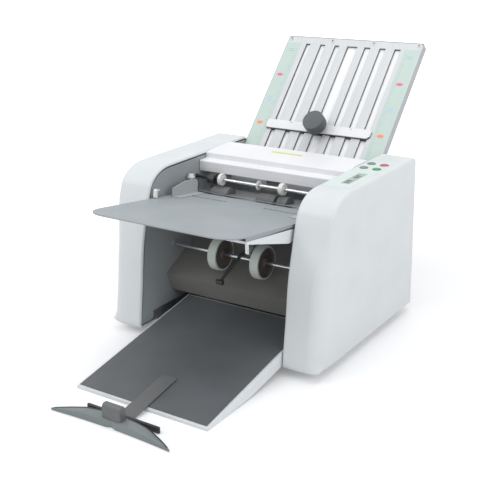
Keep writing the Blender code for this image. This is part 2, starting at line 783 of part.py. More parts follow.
def on_table(distance):
    """(y, z) of the table's upper surface at a distance from its front edge."""
    return (
        TABLE_FRONT + distance * math.cos(TABLE_PITCH),
        TABLE_HEIGHT - distance * math.sin(TABLE_PITCH),
    )


def tie_rods():
    under_table = on_table(TABLE_LENGTH - 2 * ROD_RADIUS)
    drop = (TABLE_SHEET + GAP + ROD_RADIUS) / math.cos(TABLE_PITCH)
    profile = [(0, -SPAN), (ROD_RADIUS, -SPAN), (ROD_RADIUS, SPAN), (0, SPAN)]
    under_table_place = (0, under_table[0], under_table[1] - drop)
    piece("table_tie_rod", turned(profile, "X", steps=12), STEEL, under_table_place, smooth=True)
    finger_place = (0, FINGER_PIVOT_Y, FINGER_ROD_Z)
    return piece("finger_tie_rod", turned(profile, "X", steps=12), STEEL, finger_place, smooth=True)


# Rear cover: a plate with two rows of vents between the side covers

def rear_cover():
    rear = COVER_DEPTH - WALL
    bottom = PAN_TOP + GAP
    half = INNER - GAP
    outline = rectangle((-half, bottom), (half, REAR_COVER_TOP))
    vents = []
    middle = (bottom + REAR_COVER_TOP) / 2
    for side in (-1, 1):
        for index in range(VENT_COUNT):
            x = side * (SPAN / 2 + (index - (VENT_COUNT - 1) / 2) * VENT_PITCH)
            low = (x - VENT_WIDTH / 2, middle - VENT_LENGTH / 2)
            high = (x + VENT_WIDTH / 2, middle + VENT_LENGTH / 2)
            vents.append(rectangle(low, high))
    piece("rear_cover", plate("Y", rear - SHEET, rear, outline, vents), GREY_ABS)


# Top cover: a stepped shell, open below, that lifts on two pins at its rear

def top_cover():
    lip_back = LIP_FRONT + STEP_BACK
    rear_bottom = COVER_TOP - TOP_COVER_SIDE
    right = PANEL_INNER - GAP - PLAY / 2
    outline = [
        (LIP_FRONT + PLAY, LIP_BOTTOM), (LIP_FRONT, LIP_BOTTOM + PLAY), (LIP_FRONT, LIP_TOP - WALL),
        (LIP_FRONT + WALL / 3, LIP_TOP - WALL / 3), (LIP_FRONT + WALL, LIP_TOP), (lip_back, LIP_TOP + PLAY),
        (lip_back + PLAY, STEP_TOP - PLAY), (lip_back + 2 * PLAY, STEP_TOP),
        (lip_back + (TOP_COVER_REAR - lip_back) * CROWN_SHARE, COVER_TOP), (TOP_COVER_REAR - PLAY, COVER_TOP),
        (TOP_COVER_REAR, COVER_TOP - PLAY), (TOP_COVER_REAR, rear_bottom),
    ]
    shell = plate("X", GAP - INNER, right, outline)
    open_side = [face for face in shell.faces if face.normal.z < -math.cos(OPEN_SIDE_TILT)]
    bmesh.ops.delete(shell, geom=open_side, context="FACES")
    shell.transform(Matrix.Translation((0, -TOP_PIVOT_Y, -TOP_PIVOT_Z)))
    cover = piece("top_cover", shell, WHITE_ABS, (0, TOP_PIVOT_Y, TOP_PIVOT_Z))
    thick = cover.modifiers.new("wall", "SOLIDIFY")
    thick.thickness = WALL
    thick.offset = -1
    thick.use_even_offset = True
    for name, side, wall_face in (("left_pivot", -1, INNER - GAP), ("right_pivot", 1, right)):
        first = side * (wall_face - WALL / 2)
        last = side * (FRAME_BACK + PLAY)
        profile = [(0, first), (PIVOT_RADIUS, first), (PIVOT_RADIUS, last), (0, last)]
        unite(cover, name, turned(profile, "X", steps=BUSH_STEPS))


# Control panel with its keys, lens and board

BUTTONS = {
    "start_button": ((1, 0), GREEN),
    "stop_button": ((1, 1), RED),
    "count_up_button": ((0, 1), KEY_GREY),
    "count_down_button": ((0, 0), KEY_GREY),
}


def button_centre(column, row):
    x = PANEL_INNER + BUTTON_INSET + column * BUTTON_PITCH_X
    return (x, PANEL_FRONT + BUTTON_BACK + row * BUTTON_PITCH_Y)


def control_panel():
    x0 = PANEL_INNER
    x1 = PANEL_INNER + PANEL_WIDTH
    y0 = PANEL_FRONT
    y1 = PANEL_FRONT + PANEL_LENGTH
    skew = PANEL_SKEW / 2
    corners = [(x0, y0 + skew), (x1, y0 - skew), (x1, y1 - skew), (x0, y1 + skew)]
    outline = rounded(corners, [PANEL_CORNER] * len(corners), 3)
    window_x = x0 + BUTTON_INSET + BUTTON_PITCH_X / 2
    window_low = (window_x - DISPLAY_WIDTH / 2, y0 + DISPLAY_BACK - DISPLAY_LENGTH / 2)
    window_high = (window_low[0] + DISPLAY_WIDTH, window_low[1] + DISPLAY_LENGTH)
    window = rectangle(window_low, window_high)
    holes = [circle(button_centre(*cell), BUTTON_RADIUS + GAP * 2, 16) for cell, _ in BUTTONS.values()]
    panel = plate("Z", PANEL_BASE, PANEL_FACE, outline, [window, *holes])
    fascia = piece("control_panel", panel, MINT)
    housing = block(
        (x0, y0 + PANEL_SKEW, COVER_TOP - PANEL_SKIRT),
        (INNER - GAP, TOP_PIVOT_Y - PANEL_SKIRT, PANEL_BASE + PANEL_SHEET / 2),
    )
    unite(fascia, "panel_housing", housing)
    low = (window_low[0] + GAP, window_low[1] + GAP, PANEL_BASE)
    high = (window_high[0] - GAP, window_high[1] - GAP, PANEL_FACE)
    piece("display_window", block(low, high), SCREEN)
    for name, (cell, material) in BUTTONS.items():
        shoulder = -BUTTON_FLANGE - BUTTON_TRAVEL
        profile = [
            (0, PANEL_SHEET + BUTTON_PROUD), (BUTTON_RADIUS * 0.8, PANEL_SHEET + BUTTON_PROUD),
            (BUTTON_RADIUS, PANEL_SHEET + BUTTON_PROUD * 0.6), (BUTTON_RADIUS, shoulder + BUTTON_FLANGE),
            (BUTTON_RADIUS + BUTTON_FLANGE, shoulder + BUTTON_FLANGE),
            (BUTTON_RADIUS + BUTTON_FLANGE, shoulder),
            (BUTTON_RADIUS / 2, shoulder), (BUTTON_RADIUS / 2, BUTTON_TRAVEL + GAP - BOARD_DROP),
            (0, BUTTON_TRAVEL + GAP - BOARD_DROP),
        ]
        piece(name, turned(profile, "Z"), material, (*button_centre(*cell), PANEL_BASE), smooth=True)
    board_top = PANEL_BASE - BOARD_DROP
    board_outer = x1 - PANEL_OPENING_SIDE * 2
    low = (FRAME_BACK + GAP, y0 + PANEL_OPENING_EDGE, board_top - BOARD_SHEET)
    high = (board_outer, y1 - PANEL_OPENING_EDGE, board_top)
    piece("control_board", block(low, high), BOARD_GREEN)
    edge = PANEL_OPENING_EDGE
    low = (INNER + RIM_ROUNDING + PLAY, y0 + edge, COVER_TOP - WALL - OVERRUN)
    high = (x1 - PANEL_OPENING_SIDE, y1 - edge, COVER_TOP + OVERRUN)
    cut(right_cover, "panel_opening", block(low, high))


def power_entry():
    rear = COVER_DEPTH
    z = COVER_BOTTOM + INLET_HEIGHT_UP
    half_w = INLET_WIDTH / 2
    half_h = INLET_HEIGHT / 2

    def round_inlet(grown):
        low = (INLET_X - half_w - grown, z - half_h - grown)
        return rectangle(low, (INLET_X + half_w + grown, z + half_h + grown))

    flange_line = rounded(round_inlet(INLET_FLANGE), [INLET_FLANGE / 2] * 4, 2)
    inlet = piece("power_inlet", plate("Y", rear + GAP, rear + GAP + SHEET, flange_line), DARK_ABS)
    unite(inlet, "inlet_body", plate("Y", rear - INLET_DEPTH, rear + GAP + SHEET, round_inlet(0)))
    socket_end = rear + SHEET - SOCKET_DEPTH
    cut(inlet, "inlet_socket", plate("Y", socket_end, rear + OVERRUN, round_inlet(-INLET_WALL)))
    cut(right_cover, "inlet_hole", plate("Y", rear - WALL - OVERRUN, rear + OVERRUN, round_inlet(GAP)))
    pivot_z = z + SWITCH_UP
    half_h = SWITCH_HEIGHT / 2
    rocker = [
        (-SWITCH_DEPTH, -half_h * 0.6), (0, -half_h), (SWITCH_CROWN * 2, -half_h), (SWITCH_CROWN, 0),
        (SWITCH_CROWN * 2, half_h), (0, half_h), (-SWITCH_DEPTH, half_h * 0.6),
    ]
    half_w = SWITCH_WIDTH / 2
    piece("power_switch", plate("X", -half_w, half_w, rocker), DARK_ABS, (INLET_X, rear - WALL / 2, pivot_z))
    low = (INLET_X - half_w - GAP, pivot_z - half_h - PLAY)
    high = (INLET_X + half_w + GAP, pivot_z + half_h + PLAY)
    cut(right_cover, "switch_hole", plate("Y", rear - WALL - OVERRUN, rear + OVERRUN, rectangle(low, high)))


# Feed table, in a frame that slopes down to the rear

table = frame_at("table_frame", (0, TABLE_FRONT, TABLE_HEIGHT), (-TABLE_PITCH, 0, 0))
GUIDE_SLOT_AT = (GUIDE_FRONT + GUIDE_REAR) / 2


def feed_table():
    half = TABLE_HALF_WIDTH
    corners = rectangle((-half, 0), (half, TABLE_LENGTH))
    outline = rounded(corners, [TABLE_CORNER, TABLE_CORNER, 0, 0], 5)
    slots = []
    for side in (-1, 1):
        near = GUIDE_SPAN - GUIDE_TRAVEL - GUIDE_FLANGE
        far = GUIDE_SPAN - PLAY
        low = (min(side * near, side * far), GUIDE_SLOT_AT - GUIDE_SLOT / 2)
        high = (max(side * near, side * far), GUIDE_SLOT_AT + GUIDE_SLOT / 2)
        slots.append(rectangle(low, high))
    top = piece("feed_table", plate("Z", -TABLE_SHEET, 0, outline, slots), STOP_GREY, parent=table)
    for name, side in (("left_flange", -1), ("right_flange", 1)):
        near = min(side * half, side * (half - SHEET))
        low = (near, TABLE_CORNER, -TABLE_SHEET - TABLE_FLANGE)
        high = (near + SHEET, GUIDE_FRONT, -TABLE_SHEET / 2)
        unite(top, name, block(low, high))


def table_skirt():
    """A moulded cradle under the table's flanges, hung between the side frames on two bosses."""
    half = TABLE_HALF_WIDTH
    top = -TABLE_SHEET - TABLE_FLANGE - GAP
    boss_z = top - SKIRT_BOSS_DROP
    boss_y = (SKIRT_BOSS_Y - TABLE_FRONT - boss_z * math.sin(TABLE_PITCH)) / math.cos(TABLE_PITCH)
    rear = boss_y + SKIRT_BOSS_EDGE
    corners = [(SKIRT_FRONT, top), (SKIRT_FRONT, top - SKIRT_NOSE), (rear, top - SKIRT_DEPTH), (rear, top)]
    side_line = rounded(corners, [0, SKIRT_NOSE / 3, SKIRT_CORNER, 0], 5)
    skirt = piece("table_skirt", plate("X", -half, half, side_line), GREY_ABS, parent=table)
    front, front_low, rear_low, rear_top = inset(corners, [WALL] * 4)
    hollow = [(front[0], top + OVERRUN), front_low, rear_low, (rear_top[0], top + OVERRUN)]
    hollow = rounded(hollow, [0, 0, SKIRT_CORNER - WALL, 0], 5)
    cut(skirt, "skirt_hollow", plate("X", WALL - half, half - WALL, hollow))
    for name, side in (("left_boss", -1), ("right_boss", 1)):
        first = side * (half - WALL / 2)
        last = side * SPAN
        profile = [(0, first), (SKIRT_BOSS, first), (SKIRT_BOSS, last), (0, last)]
        unite(skirt, name, turned(profile, "X", (boss_y, boss_z), 12))


def paper_guides():
    """Upright fences on flanges that slide across the table, each with a tongue in its slot."""
    for name, side in (("left_paper_guide", -1), ("right_paper_guide", 1)):
        fence_line = [
            (GUIDE_FRONT - GUIDE_SLOT_AT, GAP), (GUIDE_REAR - GUIDE_SLOT_AT, GAP),
            (GUIDE_REAR - GUIDE_SLOT_AT, GUIDE_HIGH * 0.8),
            (GUIDE_REAR - GUIDE_SLOT_AT - GUIDE_LOW / 3, GUIDE_HIGH),
            (GUIDE_FRONT + GUIDE_LENGTH * GUIDE_CREST_SHARE - GUIDE_SLOT_AT, GUIDE_HIGH),
            (GUIDE_FRONT - GUIDE_SLOT_AT, GUIDE_LOW),
        ]
        near = min(0, side * GUIDE_SHEET)
        fence = plate("X", near, near + GUIDE_SHEET, fence_line)
        guide = piece(name, fence, GREY_ABS, (side * GUIDE_SPAN, GUIDE_SLOT_AT, 0), parent=table)
        section = [
            (side * PLAY / 2, GAP), (-side * GUIDE_FLANGE, GAP),
            (-side * GUIDE_FLANGE, GAP + PLAY), (side * PLAY / 2, GAP + PLAY),
        ]
        flange = plate("Y", GUIDE_FRONT - GUIDE_SLOT_AT, GUIDE_REAR - GUIDE_SLOT_AT, section)
        unite(guide, name + "_flange", flange)
        low = (min(-side * PLAY * 3, -side * GUIDE_FLANGE * 0.8), -GUIDE_TONGUE / 2, -TABLE_SHEET - PLAY)
        high = (max(-side * PLAY * 3, -side * GUIDE_FLANGE * 0.8), GUIDE_TONGUE / 2, GAP + PLAY / 2)
        unite(guide, name + "_tongue", block(low, high))


def side_controls():
    foot = LEVER_THICKNESS / 2
    pivot_z = foot + GAP * 2
    tall = LEVER_HEIGHT - pivot_z
    lever_line = circle((0, 0), foot, LEVER_FOOT_STEPS * 2, math.pi)[:LEVER_FOOT_STEPS + 1]
    lever_line.extend([
        (foot, tall * 0.7), (foot + LEVER_HOOK / 3, tall * 0.85), (LEVER_HOOK, tall * 0.75),
        (LEVER_HOOK + foot, tall * 0.9), (LEVER_HOOK / 2, tall), (0, tall), (-foot, tall * 0.85),
    ])
    half = LEVER_THICKNESS * 0.7
    lever_place = (-SIDE_PIN_X, LEVER_BACK, pivot_z)
    piece("release_lever", plate("X", -half, half, lever_line), ACETAL, lever_place, parent=table)
    tier = KNOB_RADIUS * 0.55
    profile = [
        (0, KNOB_HEIGHT), (KNOB_RADIUS * 0.72, KNOB_HEIGHT), (KNOB_RADIUS * 0.75, KNOB_HEIGHT - tier),
        (KNOB_RADIUS, KNOB_HEIGHT - tier), (KNOB_RADIUS, KNOB_HEIGHT - 2 * tier),
        (KNOB_STEM, KNOB_HEIGHT - 2 * tier), (KNOB_STEM, GAP), (0, GAP),
    ]
    knob_place = (-SIDE_PIN_X, KNOB_BACK, 0)
    piece("skew_knob", turned(profile, "Z", steps=14), ACETAL, knob_place, parent=table, smooth=True)


# Throat: the plate the sheet crosses from the table to the fold rollers, and its friction pad

def throat():
    start = (THROAT_START, FEED_Z + FEED_RADIUS - THROAT_RISE)
    end = (THROAT_END, FEED_Z + FEED_RADIUS - THROAT_DROP)
    fall = (end[1] - start[1]) / (end[0] - start[0])
    half = SPAN - BUSH_FLANGE - GAP
    windows = []
    reach = FEED_RADIUS + PLAY * 2
    for low_share, high_share in TYRE_SHARES:
        low = low_share * INNER - PLAY * 2
        high = high_share * INNER + PLAY * 2
        windows.append(rectangle((low, THROAT_START + PLAY * 2), (high, FEED_Y + reach)))
    floor = plate("Z", 0, GUIDE_PLATE_SHEET, rectangle((-half, THROAT_START), (half, THROAT_END)), windows)
    for point in floor.verts:
        point.co.z += start[1] + (point.co.y - THROAT_START) * fall
    throat_plate = piece("throat_plate", floor, ZINC)
    for name, side in (("left_wing", -1), ("right_wing", 1)):
        x = side * (GUIDE_SPAN + GUIDE_SHEET)
        y0 = THROAT_START + THROAT_WINDOW
        y1 = y0 + THROAT_WING * 2
        z0 = start[1] + GUIDE_PLATE_SHEET / 2
        top = z0 + (y0 - THROAT_START) * fall + THROAT_WING
        outline = [
            (y0, z0 + (y0 - THROAT_START) * fall), (y1, z0 + (y1 - THROAT_START) * fall),
            (y1 - THROAT_WINDOW, top - THROAT_WINDOW), (y1 - THROAT_WINDOW * 2, top), (y0, top),
        ]
        low = min(x, x + side * SHEET)
        unite(throat_plate, name, plate("X", low, low + SHEET, outline))


def separator():
    """A friction pad under the top cover, on a stem that hangs from the cover's stepped front."""
    y = FEED_Y + PAD_BACK
    front = y - PAD_LENGTH / 2
    bottom = FEED_Z + math.sqrt(FEED_RADIUS ** 2 - (front - FEED_Y) ** 2) + GAP
    stem = LIP_FRONT + WALL + PAD_LENGTH / 2
    top = LIP_TOP - WALL - GAP
    outline = [
        (front, bottom), (y + PAD_LENGTH / 2, bottom), (stem + PAD_STEM, bottom + PAD_HEIGHT * 2),
        (stem + PAD_STEM, top), (stem, top), (stem, bottom + PAD_HEIGHT * 2), (front, bottom + PAD_HEIGHT),
    ]
    centre = (DISC_X + PRESSURE_RIGHT_X) / 2
    pad = plate("X", centre - PAD_WIDTH / 2, centre + PAD_WIDTH / 2, outline)
    piece("separator_pad", pad, RUBBER)


# Rollers, each a turned shaft with its body, on bushes in both side frames

def roller_profile(radius, left_end, right_end):
    body = SPAN - BUSH_FLANGE - ROLLER_END
    return [
        (0, left_end), (SHAFT_RADIUS, left_end), (SHAFT_RADIUS, -body), (radius, -body),
        (radius, body), (SHAFT_RADIUS, body), (SHAFT_RADIUS, right_end), (0, right_end),
    ]


def lane(index):
    """Left and right faces of a belt lane outside the left frame."""
    near = LANE_START + index * BELT_LANE
    return (-near - BELT_WIDTH, -near)


def gear_end():
    return GEAR_START + GEAR_WIDTH


def fold_rollers():
    plain_end = -FRAME_BACK - BUSH_FLANGE - GAP
    outer_rollers = (("upper_fold_roller", UPPER), ("rear_fold_roller", REAR), ("lower_fold_roller", LOWER))
    for name, centre in outer_rollers:
        profile = roller_profile(ROLLER_RADIUS, plain_end, gear_end() + PLAY)
        piece(name, turned(profile, "X"), RUBBER, (0, *centre), smooth=True)
    body = SPAN - BUSH_FLANGE - ROLLER_END
    profile = [(0, lane(2)[0] - PLAY), (SHAFT_RADIUS, lane(2)[0] - PLAY)]
    for index, radius in ((2, SMALL_PULLEY), (1, SMALL_PULLEY), (0, DRIVEN_PULLEY)):
        left, right = lane(index)
        profile.extend([(SHAFT_RADIUS, left), (radius, left), (radius, right), (SHAFT_RADIUS, right)])
    profile.extend([
        (SHAFT_RADIUS, -body), (ROLLER_RADIUS, -body), (ROLLER_RADIUS, body), (SHAFT_RADIUS, body),
        (SHAFT_RADIUS, gear_end() + PLAY), (0, gear_end() + PLAY),
    ])
    piece("middle_fold_roller", turned(tidy_profile(profile), "X"), RUBBER, (0, *MIDDLE), smooth=True)


def tidy_profile(profile):
    """The same profile without points that repeat."""
    kept = []
    for point in profile:
        if not kept or (Vector(point) - Vector(kept[-1])).length > GAP / 10:
            kept.append(point)
    return kept


def fold_gears():
    """Four equal gears in mesh: the three outer ones each meet the middle one."""
    tooth = math.tau / GEAR_TEETH
    middle_phase = 0.0
    members = [("middle_gear", MIDDLE, middle_phase)]
    for name, centre, angle in (
        ("upper_gear", UPPER, UPPER_ROLLER_ANGLE),
        ("rear_gear", REAR, REAR_ROLLER_ANGLE),
        ("lower_gear", LOWER, LOWER_ROLLER_ANGLE),
    ):
        into_mesh = (angle - middle_phase) / tooth
        phase = angle + math.pi - tooth / 2 + into_mesh * tooth
        members.append((name, centre, phase))
    bore = circle((0, 0), (SHAFT_RADIUS + GAP) / math.cos(math.pi / BUSH_STEPS), BUSH_STEPS)
    for name, centre, phase in members:
        wheel = plate("X", GEAR_START, GEAR_START + GEAR_WIDTH, gear_outline((0, 0), phase), [bore])
        piece(name, wheel, ACETAL, (0, *centre))


def feed_rollers():
    plain_end = FRAME_BACK + BUSH_FLANGE + GAP
    profile = [(0, lane(1)[0] - PLAY), (SHAFT_RADIUS, lane(1)[0] - PLAY), (SHAFT_RADIUS, lane(1)[0])]
    profile.extend([(LARGE_PULLEY, lane(1)[0]), (LARGE_PULLEY, lane(1)[1]), (SHAFT_RADIUS, lane(1)[1])])
    for low_share, high_share in TYRE_SHARES:
        low = low_share * INNER
        high = high_share * INNER
        profile.extend([(SHAFT_RADIUS, low), (FEED_RADIUS, low), (FEED_RADIUS, high), (SHAFT_RADIUS, high)])
    profile.extend([(SHAFT_RADIUS, plain_end), (0, plain_end)])
    piece("feed_roller", turned(profile, "X"), RUBBER, (0, *FEED), smooth=True)
    slim = PRESSURE_SHAFT_RADIUS
    journal = SPAN - BUSH_FLANGE - ROD_RADIUS
    profile = [(0, -plain_end), (SHAFT_RADIUS, -plain_end), (SHAFT_RADIUS, -journal), (slim, -journal)]
    for x, radius, width in (
        (PRESSURE_LEFT_X, PRESSURE_RADIUS, PRESSURE_WIDTH),
        (DISC_X, DISC_RADIUS, DISC_WIDTH),
        (PRESSURE_RIGHT_X, PRESSURE_RADIUS, PRESSURE_WIDTH),
    ):
        low = x - width / 2
        high = x + width / 2
        edge = width / 8
        profile.extend([(slim, low), (radius - edge, low), (radius, low + edge)])
        profile.extend([(radius, high - edge), (radius - edge, high), (slim, high)])
    profile.extend([(slim, journal), (SHAFT_RADIUS, journal), (SHAFT_RADIUS, plain_end), (0, plain_end)])
    piece("pressure_rollers", turned(profile, "X"), ACETAL, (0, *PRESSURE), smooth=True)


def drive():
    seat = PAN_TOP + GAP
    left = ROLLER_END - SPAN
    right = left + MOTOR_LENGTH
    can = turned([(0, left), (MOTOR_RADIUS, left), (MOTOR_RADIUS, right), (0, right)], "X", MOTOR)
    motor = piece("motor", can, ZINC, smooth=True)
    low = (left + ROD_RADIUS, MOTOR_Y - MOTOR_RADIUS * 0.8, seat)
    high = (right - ROD_RADIUS, MOTOR_Y + MOTOR_RADIUS * 0.8, MOTOR_Z)
    unite(motor, "motor_foot", block(low, high))
    shaft_end = lane(0)[0] - PLAY
    profile = [
        (0, shaft_end), (SHAFT_RADIUS, shaft_end), (SHAFT_RADIUS, lane(0)[0]), (MOTOR_PULLEY, lane(0)[0]),
        (MOTOR_PULLEY, lane(0)[1]), (SHAFT_RADIUS, lane(0)[1]), (SHAFT_RADIUS, left - GAP), (0, left - GAP),
    ]
    piece("motor_pulley", turned(profile, "X", steps=16), STEEL, (0, *MOTOR), smooth=True)
    for name, index, first, first_radius, second, second_radius in (
        ("motor_belt", 0, MIDDLE, DRIVEN_PULLEY, MOTOR, MOTOR_PULLEY),
        ("feed_belt", 1, MIDDLE, SMALL_PULLEY, FEED, LARGE_PULLEY),
        ("stacker_belt", 2, MIDDLE, SMALL_PULLEY, STACKER, LARGE_PULLEY),
    ):
        clear = 2 * GAP
        inner = belt_path(first, first_radius + clear, second, second_radius + clear)
        far = clear + BELT_SHEET
        outer = belt_path(first, first_radius + far, second, second_radius + far)
        piece(name, plate("X", *lane(index), outer, [inner]), RUBBER)


# Upper fold plate, in a frame that leans back: Y runs up the plate and Z out of its face

plate_frame = frame_at("upper_plate_frame", (0, PLATE_FOOT_Y, PLATE_FOOT_Z), (PLATE_TILT, 0, 0))


def upper_fold_plate():
    half = PLATE_HALF_WIDTH
    corners = [(-half, -PLATE_TAIL), (half, -PLATE_TAIL), (half, PLATE_TOP), (-half, PLATE_TOP)]
    outline = rounded(corners, [0, 0, PLATE_CORNER, PLATE_CORNER], 3)
    slots = []
    for centre, width in zip(SLOT_CENTRES, SLOT_WIDTHS):
        low = (centre - width / 2, -SLOT_TAIL)
        high = (centre + width / 2, SLOT_TOP)
        slots.append(rectangle(low, high))
    screw_y = (PLATE_TOP + SLOT_TOP) / 2 + PLAY
    front_sheet = plate("Z", -PLATE_FACE, 0, outline, slots)
    face = piece("fold_plate_face", front_sheet, PLATE_PAINT, parent=plate_frame)
    inner = half - PLATE_RAIL
    bar = SLOT_TOP + PLAY * 2
    hanger = SPAN
    frame_line = [
        (-half, PLATE_TOP - PLATE_CORNER), (PLATE_CORNER - half, PLATE_TOP), (half - PLATE_CORNER, PLATE_TOP),
        (half, PLATE_TOP - PLATE_CORNER), (half, -HANGER_TO), (hanger, -HANGER_TO), (hanger, -HANGER_FROM),
        (half, -HANGER_FROM), (half, -PLATE_TAIL), (inner, -PLATE_TAIL), (inner, bar), (-inner, bar),
        (-inner, -PLATE_TAIL), (-half, -PLATE_TAIL), (-half, -HANGER_FROM), (-hanger, -HANGER_FROM),
        (-hanger, -HANGER_TO), (-half, -HANGER_TO),
    ]
    back = -PLATE_FACE - GAP - PLATE_CHANNEL
    piece("fold_plate_frame", plate("Z", back, -PLATE_FACE - GAP, frame_line), STOP_GREY, parent=plate_frame)
    rear_sheet = plate("Z", back - GAP - PLATE_FACE, back - GAP, outline)
    piece("fold_plate_back", rear_sheet, PLATE_PAINT, parent=plate_frame)
    raised = []
    for side in (-1, 1):
        low = (min(side * SCALE_INNER, side * (half - PLAY)), SCALE_BOTTOM)
        high = (max(side * SCALE_INNER, side * (half - PLAY)), SLOT_TOP + PLAY)
        raised.append(plate("Z", -PLATE_FACE / 2, SCALE_SHEET, rectangle(low, high)))
    profile = [
        (0, SCREW_HEAD), (SCREW_RADIUS * 0.7, SCREW_HEAD), (SCREW_RADIUS, SCREW_HEAD / 2),
        (SCREW_RADIUS, -PLATE_FACE / 2), (0, -PLATE_FACE / 2),
    ]
    for x in SCREW_CENTRES:
        raised.append(turned(profile, "Z", (x, screw_y), 8))
    unite(face, "scales_and_screws", joined(*raised))


def cross_stop():
    """A bar across the face with a finger in each slot, so that its section is a comb."""
    foot = GAP * 2
    comb = [(STOP_LEFT, foot)]
    for centre, width in zip(SLOT_CENTRES, SLOT_WIDTHS):
        reach = width / 2 - FINGER_PLAY
        comb.extend([
            (centre - reach, foot), (centre - reach, -FINGER_DEPTH),
            (centre + reach, -FINGER_DEPTH), (centre + reach, foot),
        ])
    comb.extend([
        (STOP_RIGHT, foot), (STOP_RIGHT, STOP_PROUD - PLAY), (STOP_RIGHT - PLAY, STOP_PROUD),
        (STOP_LEFT + PLAY, STOP_PROUD), (STOP_LEFT, STOP_PROUD - PLAY),
    ])
    middle = SLOT_CENTRES[len(SLOT_CENTRES) // 2]
    piece("cross_stop", plate("Y", 0, STOP_LENGTH, comb), WHITE_ABS, (0, STOP_AT, 0), parent=plate_frame)
    base_z = STOP_PROUD + GAP
    rings = []
    for radius, height, depth in (
        (GRIP_NECK, 0, 0), (GRIP_NECK, GRIP_HEIGHT * 0.2, 0), (GRIP_RADIUS, GRIP_HEIGHT * 0.3, 1),
        (GRIP_RADIUS, GRIP_HEIGHT * 0.85, 1), (GRIP_RADIUS * 0.85, GRIP_HEIGHT, 0.5),
    ):
        ring = []
        for step in range(GRIP_LOBES * 2):
            angle = math.tau * step / (GRIP_LOBES * 2)
            reach = radius * (1 - GRIP_FLUTE_SHARE * depth * (step % 2))
            ring.append((reach * math.cos(angle), reach * math.sin(angle), height))
        rings.append(ring)
    piece(
        "cross_stop_knob", lofted(*rings), DARK_ABS,
        (middle, STOP_AT + STOP_LENGTH / 2, base_z), parent=plate_frame, smooth=True,
    )


# Lower fold plate, behind the lower roller: Y runs down the plate and Z to the rear

LOWER_TILT = -math.pi / 2 + REAR_ROLLER_ANGLE
lower_mouth = (
    MIDDLE_ROLLER_Y + ROLLER_PITCH / 2 * math.cos(REAR_ROLLER_ANGLE),
    MIDDLE_ROLLER_Z + ROLLER_PITCH / 2 * math.sin(REAR_ROLLER_ANGLE),
)
lower_frame = frame_at("lower_plate_frame", (0, *lower_mouth), (LOWER_TILT, 0, 0))


def lower_fold_plate():
    half = SPAN
    side = half - PLATE_RAIL
    back = LOWER_PLATE_CHANNEL / 2
    front = -LOWER_PLATE_CHANNEL / 2
    section = [
        (-half, back + SHEET), (half, back + SHEET), (half, front),
        (side, front), (side, back), (-side, back),
        (-side, front), (-half, front),
    ]
    start = LOWER_PLATE_START
    end = (lower_mouth[1] - PAN_TOP - LOWER_PLATE_LIFT) / math.cos(REAR_ROLLER_ANGLE)
    piece("lower_fold_plate", plate("Y", start, end, section), ZINC, parent=lower_frame)
    low = (GAP - side, 0, back - GAP - LOWER_STOP_SIZE)
    high = (side - GAP, LOWER_STOP_SIZE, back - GAP)
    stop_at = start + (end - start) * LOWER_STOP_SHARE
    piece("lower_stop", block(low, high), WHITE_ABS, (0, stop_at, 0), parent=lower_frame)


# Stacker: two wheels over the exit plate, and a finger that holds the folded sheets down

def stacker():
    profile = [
        (0, lane(2)[0] - PLAY), (SHAFT_RADIUS, lane(2)[0] - PLAY), (SHAFT_RADIUS, lane(2)[0]),
        (LARGE_PULLEY, lane(2)[0]), (LARGE_PULLEY, lane(2)[1]), (SHAFT_RADIUS, lane(2)[1]),
        (SHAFT_RADIUS, FRAME_BACK + BUSH_FLANGE + GAP), (0, FRAME_BACK + BUSH_FLANGE + GAP),
    ]
    piece("stacker_shaft", turned(profile, "X"), STEEL, (0, *STACKER), smooth=True)
    bore = (SHAFT_RADIUS + GAP) / math.cos(math.pi / ROUND_STEPS)
    half = WHEEL_WIDTH / 2
    rim = WHEEL_RADIUS - WHEEL_RIM
    edge = WHEEL_RIM / 3
    ring = [
        (bore, -half), (WHEEL_HUB, -half), (WHEEL_HUB, WHEEL_RECESS - half),
        (rim, WHEEL_RECESS - half), (rim, -half),
        (WHEEL_RADIUS - edge, -half), (WHEEL_RADIUS, edge - half), (WHEEL_RADIUS, half - edge),
        (WHEEL_RADIUS - edge, half), (rim, half), (rim, half - WHEEL_RECESS),
        (WHEEL_HUB, half - WHEEL_RECESS), (WHEEL_HUB, half), (bore, half),
    ]
    for name, x in (("stacker_wheel_left", WHEEL_LEFT_X), ("stacker_wheel_right", WHEEL_RIGHT_X)):
        piece(name, turned(ring, "X", steps=24), TYRE, (x, *STACKER), smooth=True)
    start = Vector((LOWER[0] - ROLLER_PITCH * 0.65, LOWER[1] + ROLLER_RADIUS - GUIDE_PLATE_SHEET * 3))
    to_wheel = Vector(STACKER) - start
    heading = math.atan2(to_wheel.y, to_wheel.x) + math.asin((WHEEL_RADIUS + GAP * 2) / to_wheel.length)
    lip_z = start.y + (GUIDE_PLATE_LIP_Y - start.x) * math.tan(heading)
    foot_z = tray_surface(GUIDE_PLATE_FOOT_Y) + GAP
    line = [tuple(start), (GUIDE_PLATE_LIP_Y, lip_z), (GUIDE_PLATE_FOOT_Y, foot_z)]
    under = [
        (start.x, start.y - GUIDE_PLATE_SHEET * 1.2),
        (GUIDE_PLATE_LIP_Y + GUIDE_PLATE_SHEET, lip_z - GUIDE_PLATE_SHEET / 2),
        (GUIDE_PLATE_FOOT_Y + GUIDE_PLATE_SHEET, foot_z),
    ]
    piece("exit_plate", plate("X", -SPAN, SPAN, line + under[::-1]), FRAME_PAINT)


